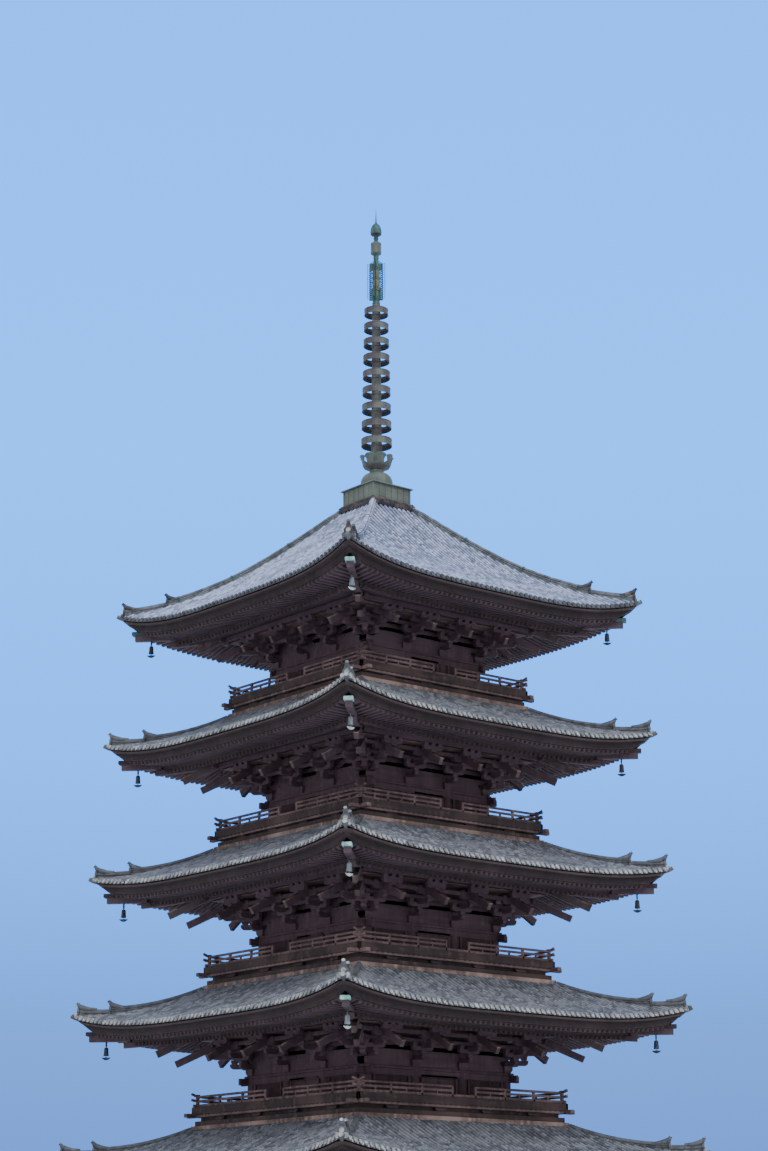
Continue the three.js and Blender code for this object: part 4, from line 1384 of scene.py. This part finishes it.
def flame_blade():
    """One openwork flame panel: a toothed upright on a foot rail, ties back to the stem and a
    fine fringe of tongues outside it."""
    upright, low, high, count = 0.31, 49.86, 51.86, 17
    bars = [((upright, low, 0.036), (upright, high, 0.03)), ((0.13, low, 0.02), (upright, low, 0.02)),
            ((upright, high, 0.016), (0.13, high + 0.14, 0.012)),
            ((0.23, low, 0.016), (0.23, high + 0.06, 0.014))]
    for i in range(count):
        z = low + 0.06 + (high - low - 0.12) * i / (count - 1)
        bars.append(((upright - 0.06, z - 0.03, 0.026), (upright + 0.02, z + 0.02, 0.02)))
        bars.append(((upright + 0.01, z, 0.013), (0.5 - 0.04 * abs(i - 8) / 8, z + 0.07, 0.006)))
        if i % 2 == 0:
            bars.append(((0.14, z + 0.05, 0.014), (upright, z - 0.04, 0.014)))
        if i < count - 1:
            bars.append(((0.44, z + 0.03, 0.008), (0.44, z + 0.17, 0.008)))
    parts = []
    for (x0, z0, thick0), (x1, z1, thick1) in bars:
        bar = rod(thick0, math.hypot(x1 - x0, z1 - z0), 5, end=thick1)
        bar.data.transform(Matrix.Rotation(math.atan2(x1 - x0, z1 - z0), 4, "Y"))
        parts.append(shifted(bar, x=(x0 + x1) / 2, z=(z0 + z1) / 2))
    return joined(parts)


def flame_webs():
    """The flat cast leaves at the foot and the head of a panel."""
    foot = block((0.12, 0.26), (-0.02, 0.02), (49.88, 50.5), 0.015)
    head = block((0.12, 0.3), (-0.02, 0.02), (51.48, 51.85), 0.015)
    return joined([foot, head])


def spire_flame():
    """The stem inside the four openwork panels, with its knobbly cast leaves."""
    stem = turned([
        (0, 49.63), (0.2, 49.63), (0.2, 49.7), (0.16, 49.8), (0.18, 50.3), (0.15, 50.34),
        (0.18, 50.38), (0.19, 50.9), (0.16, 50.95), (0.19, 51.0), (0.18, 51.45), (0.15, 51.5),
        (0.17, 51.56), (0.16, 51.85), (0.13, 51.98), (0.125, 52.04), (0, 52.04),
    ], 18)
    leaves = []
    for i in range(8):
        leaf = rod(0.06, 0.24, 5, (0.17, 0, 49.95 + 0.26 * i), (0, 0.35, 0), end=0.015)
        leaves.append(round_copies(spun(leaf, 45 + 36 * (i % 2)), 5))
    return joined([stem, *leaves])


def spire_jewel():
    """A squat barrel and a domed jewel with a flat underside and a needle."""
    return turned([
        (0, 52.05), (0.125, 52.05), (0.14, 52.12), (0.13, 52.34), (0.16, 52.37), (0.255, 52.38),
        (0.275, 52.42), (0.27, 52.46), (0.262, 52.5), (0.262, 52.84), (0.27, 52.88), (0.275, 52.94),
        (0.255, 52.97), (0.14, 52.98), (0.11, 53.02), (0.105, 53.18), (0.125, 53.2), (0.125, 53.24),
        (0.105, 53.26), (0.11, 53.4), (0.24, 53.42), (0.275, 53.46), (0.284, 53.53), (0.28, 53.66),
        (0.255, 53.8), (0.205, 53.92), (0.13, 54.01), (0.06, 54.07), (0.035, 54.2), (0.02, 54.5),
        (0.008, 54.84), (0, 54.85),
    ], 28)


# Bells
def wind_bell(plate_turn):
    """A long hollow bell with bands, its clapper and the wind plate, turned by some degrees."""
    body = turned([
        (0, -0.08), (0.045, -0.081), (0.08, -0.095), (0.096, -0.125), (0.1, -0.17),
        (0.107, -0.18), (0.107, -0.195), (0.103, -0.205), (0.112, -0.34), (0.12, -0.35),
        (0.12, -0.365), (0.115, -0.375), (0.124, -0.43), (0.13, -0.468), (0.118, -0.47),
        (0.105, -0.36), (0.09, -0.17), (0.07, -0.11), (0, -0.1),
    ], 20)
    bail = turned([(0.0165, -0.014), (0.033, -0.014), (0.034, 0.014), (0.0165, 0.014),
                   (0.0165, -0.014)], 18)
    bail.data.transform(Matrix.Rotation(math.pi / 2, 4, "X"))
    stem = block((-0.02, 0.02), (-0.014, 0.014), (-0.09, -0.026), 0.004)
    striker = rod(0.008, 0.44, 6, (0, 0, -0.34))
    knob = rod(0.03, 0.05, 10, (0, 0, -0.42), end=0.02)
    plate = grid(8, 2)
    points = points_of(plate)
    share, updown = points[:, 0] * 2, points[:, 1] * 2
    tall = 0.06 * (1 - np.abs(share) ** 1.5) + 0.012
    z = -0.6 + 0.05 * np.abs(share) ** 3 + updown * tall
    set_points(plate, np.stack([share * 0.205, 0 * share, z], axis=1))
    modifier(plate, "SOLIDIFY", thickness=0.018, offset=0)
    return joined([body, bail, stem, striker, knob, spun(plate, plate_turn)])


# Podium
def podium():
    """Dressed stone in courses: plinth, upright panels between posts, edge stones, paving
    and a flight of steps between cheeks on each side."""
    half, top = PODIUM_HALF, PODIUM_HEIGHT
    core = block((-half + 0.2, half - 0.2), (-half + 0.2, half - 0.2), (0, top - 0.1))
    stones, count = [], 9
    wide = 2 * half / count
    for i in range(count):
        x0, x1 = -half + wide * i, -half + wide * (i + 1)
        last = i == count - 1
        for x, y, z in (
            ((x0 + 0.004, x1 - 0.004), (-half, -half + 0.5), (0, 0.16)),
            ((x0 + 0.004, x1 - 0.004), (-half, -half + 0.6), (top - 0.24, top)),
            ((x0 + 0.12, x1 - 0.12), (-half + 0.17, -half + 0.4), (0.16, 0.87)),
            ((x1 - (0.14 if last else 0.12), x1 + (-0.12 if last else 0.12)),
             (-half + 0.13, -half + 0.4), (0.16, 0.87)),
        ):
            stones.append(block(x, y, z, 0.018))
    stair, count = [], 5
    for i in range(count):
        reach = half + 0.36 * (count - 1 - i)
        tread = top / count * (i + 1)
        stair.append(block((-1.58, 1.58), (-reach, -half + 0.2), (tread - 0.22, tread), 0.015))
    for side in (-1.72, 1.72):
        cheek = block((side - 0.14, side + 0.14), (-half - 1.54, -half + 0.2), (0, top))
        cut(cheek, (0, -half - 0.1, top + 0.001), (0, -0.858, 1.44))
        stair.append(eased(cheek, 0.015))
    count = 12
    pitch = (2 * half - 1.2) / count
    wide = (-pitch / 2 + 0.006, pitch / 2 - 0.006)
    slab = centred_row(block(wide, wide, (top - 0.12, top - 0.004), 0.012), count, pitch)
    slab = shifted(row(slab, count, (0, pitch, 0)), y=-(count - 1) / 2 * pitch)
    return joined([core, slab, four_sides(joined([between_hips(joined(stones)), *stair]))])


for s in storeys[1:]:
    balcony = f"balcony_{s.number}"
    dress(deck_boards(s), f"{balcony}_boards", "dark_timber", balcony_shade_timber, f"{balcony}_deck")
    dress(deck_noses(s), f"{balcony}_edge_beams", "worn_timber", worn_timber)
    dress(deck_skirt(s), f"{balcony}_skirt", "dark_timber", balcony_shade_timber)
    lower, upper = foot_boards(s)
    dress(lower, f"{balcony}_foot_boards", "worn_timber", pale_timber)
    # The set-back board's dark finish is painted shade under the deck.
    dress(upper, f"{balcony}_upper_boards", "worn_timber", balcony_shade_timber)
    dress(railing(s), f"{balcony}_rails", "worn_timber", worn_timber, f"{balcony}_railing")

ground = storeys[0]
for i, side in enumerate(("front", "right", "back", "left")):
    low = ground.floor_z + 0.222
    leaves = spun(plank_door(-1.048, 1.048, -ground.column_half, low, low + 2.748), 90 * i)
    dress(leaves, f"door_{side}_leaves", "dark_timber", dark_timber, f"door_{side}")


# The inward faces of the bands, which take the dark ring finish as painted shade.
def band_inside_in_shade(face):
    at, normal = face.center, face.normal
    return math.hypot(at.x, at.y) > 0.45 and normal.x * at.x + normal.y * at.y < -0.3


def jewel_finish(face):
    """1 on the barrel, 2 on the faces under the jewel, where the dark finish is painted shade."""
    if face.center.z > 53.3 and face.normal.z < -0.3:
        return 2
    return 52.36 < face.center.z < 53.0


dress(podium(), "podium_stones", "podium_stone", podium_stone, "podium")
dress(spire_box(), "spire_box_sheets", "spire_bronze", box_bronze, "spire_box")
dress(spire_bowl(), "spire_inverted_bowl", "spire_bronze", olive_bronze, "spire_bowl")
# The dish below the petals takes the darker spire bronze: painted shade at the foot of the flower.
dress(spire_flower(), "spire_lotus", "spire_bronze", (olive_bronze, spire_bronze),
      "spire_flower", which=lambda face: face.center.z < 40.97)
dress(spire_rings(), "spire_nine_rings", "spire_bronze", (spire_bronze, ring_inside_shade),
      "spire_rings", which=band_inside_in_shade)
dress(spire_flame(), "spire_stem", "spire_bronze", (green_bronze, stem_bronze), "spire_flame",
      which=lambda face: 50.45 < face.center.z < 51.6)
dress(four_corners(flame_blade()), "spire_openwork", "spire_bronze", bell_bronze)
dress(four_corners(flame_webs()), "spire_flame_webs", "spire_bronze", green_bronze)
dress(box_foot(), "spire_box_foot_tiles", "roof_tile", foot_tile)
dress(spire_jewel(), "spire_ball_and_jewel", "spire_bronze",
      (green_bronze, olive_bronze, bell_bronze), "spire_jewel", which=jewel_finish)

plain_bell, near_bell = wind_bell(0), wind_bell(-45)
for s in storeys:
    reach, z = s.bell_pin()
    for i, corner in enumerate(("back_right", "back_left", "front_left", "front_right")):
        # The bells at the near corner get the pale bronze and pale wind plate as painted light; the
        # others stay dark.
        near = corner == "front_left"
        place = about_z(45 + 90 * i) @ Matrix.Translation((reach, 0, z))
        bell = f"bell_{s.number}_{corner}"
        dress(copied(near_bell if near else plain_bell, place), f"{bell}_bronze", "bell_bronze",
              (lit_bell_bronze, lit_plate_bronze) if near else bell_bronze, bell,
              which=(lambda face: face.center.z < z - 0.5) if near else None, body=f"{bell}_body")
for pattern in (plain_bell, near_bell):
    bpy.data.objects.remove(pattern)


# Floor, light and sky
clear_selection()
bpy.ops.mesh.primitive_plane_add(size=600)
floor = bpy.context.object
floor.name = "floor"
pale, pale_tree = material("pale floor", 0.9)
pale_tree.nodes["Principled BSDF"].inputs["Base Color"].default_value = (0.78, 0.74, 0.7, 1)
floor.data.materials.append(pale)

sun_data = bpy.data.lights.new("soft sun", "SUN")
sun_data.energy = 1.8
sun_data.angle = math.radians(40)
sun = bpy.data.objects.new("soft sun", sun_data)
sun.rotation_euler = (math.radians(38), 0, math.radians(-20))
bpy.context.scene.collection.objects.link(sun)

# A soft neutral dome with a blue backdrop on the side behind the tower
world = bpy.data.worlds.new("pale sky")
world.use_nodes = True
sky_tree = world.node_tree
where = node(sky_tree, "TexCoord", {}).outputs["Generated"]
height = node(sky_tree, "SeparateXYZ", {"Vector": where}).outputs["Z"]
behind = node(sky_tree, "VectorMath", {0: where, 1: (0.635, 0.773, 0)}, operation="DOT_PRODUCT")
blue = ramp(sky_tree, height, [
    (0.0, (0.038, 0.085, 0.25)), (0.1, (0.04, 0.12, 0.35)), (0.2, (0.03, 0.195, 0.67)),
    (0.32, (0.022, 0.226, 0.79)), (0.5, (0.028, 0.2, 0.73)),
])
dome = ramp(sky_tree, height, [
    (0.0, (0.23, 0.22, 0.215)), (0.5, (0.24, 0.25, 0.27)), (0.9, (0.26, 0.3, 0.36)),
])
sky = blend_colors(sky_tree, steps(sky_tree, behind.outputs["Value"], 0.62, 0.8), dome, blue)
backdrop = sky_tree.nodes["Background"]
backdrop.inputs["Strength"].default_value = 4.0
sky_tree.links.new(sky, backdrop.inputs["Color"])
bpy.context.scene.world = world
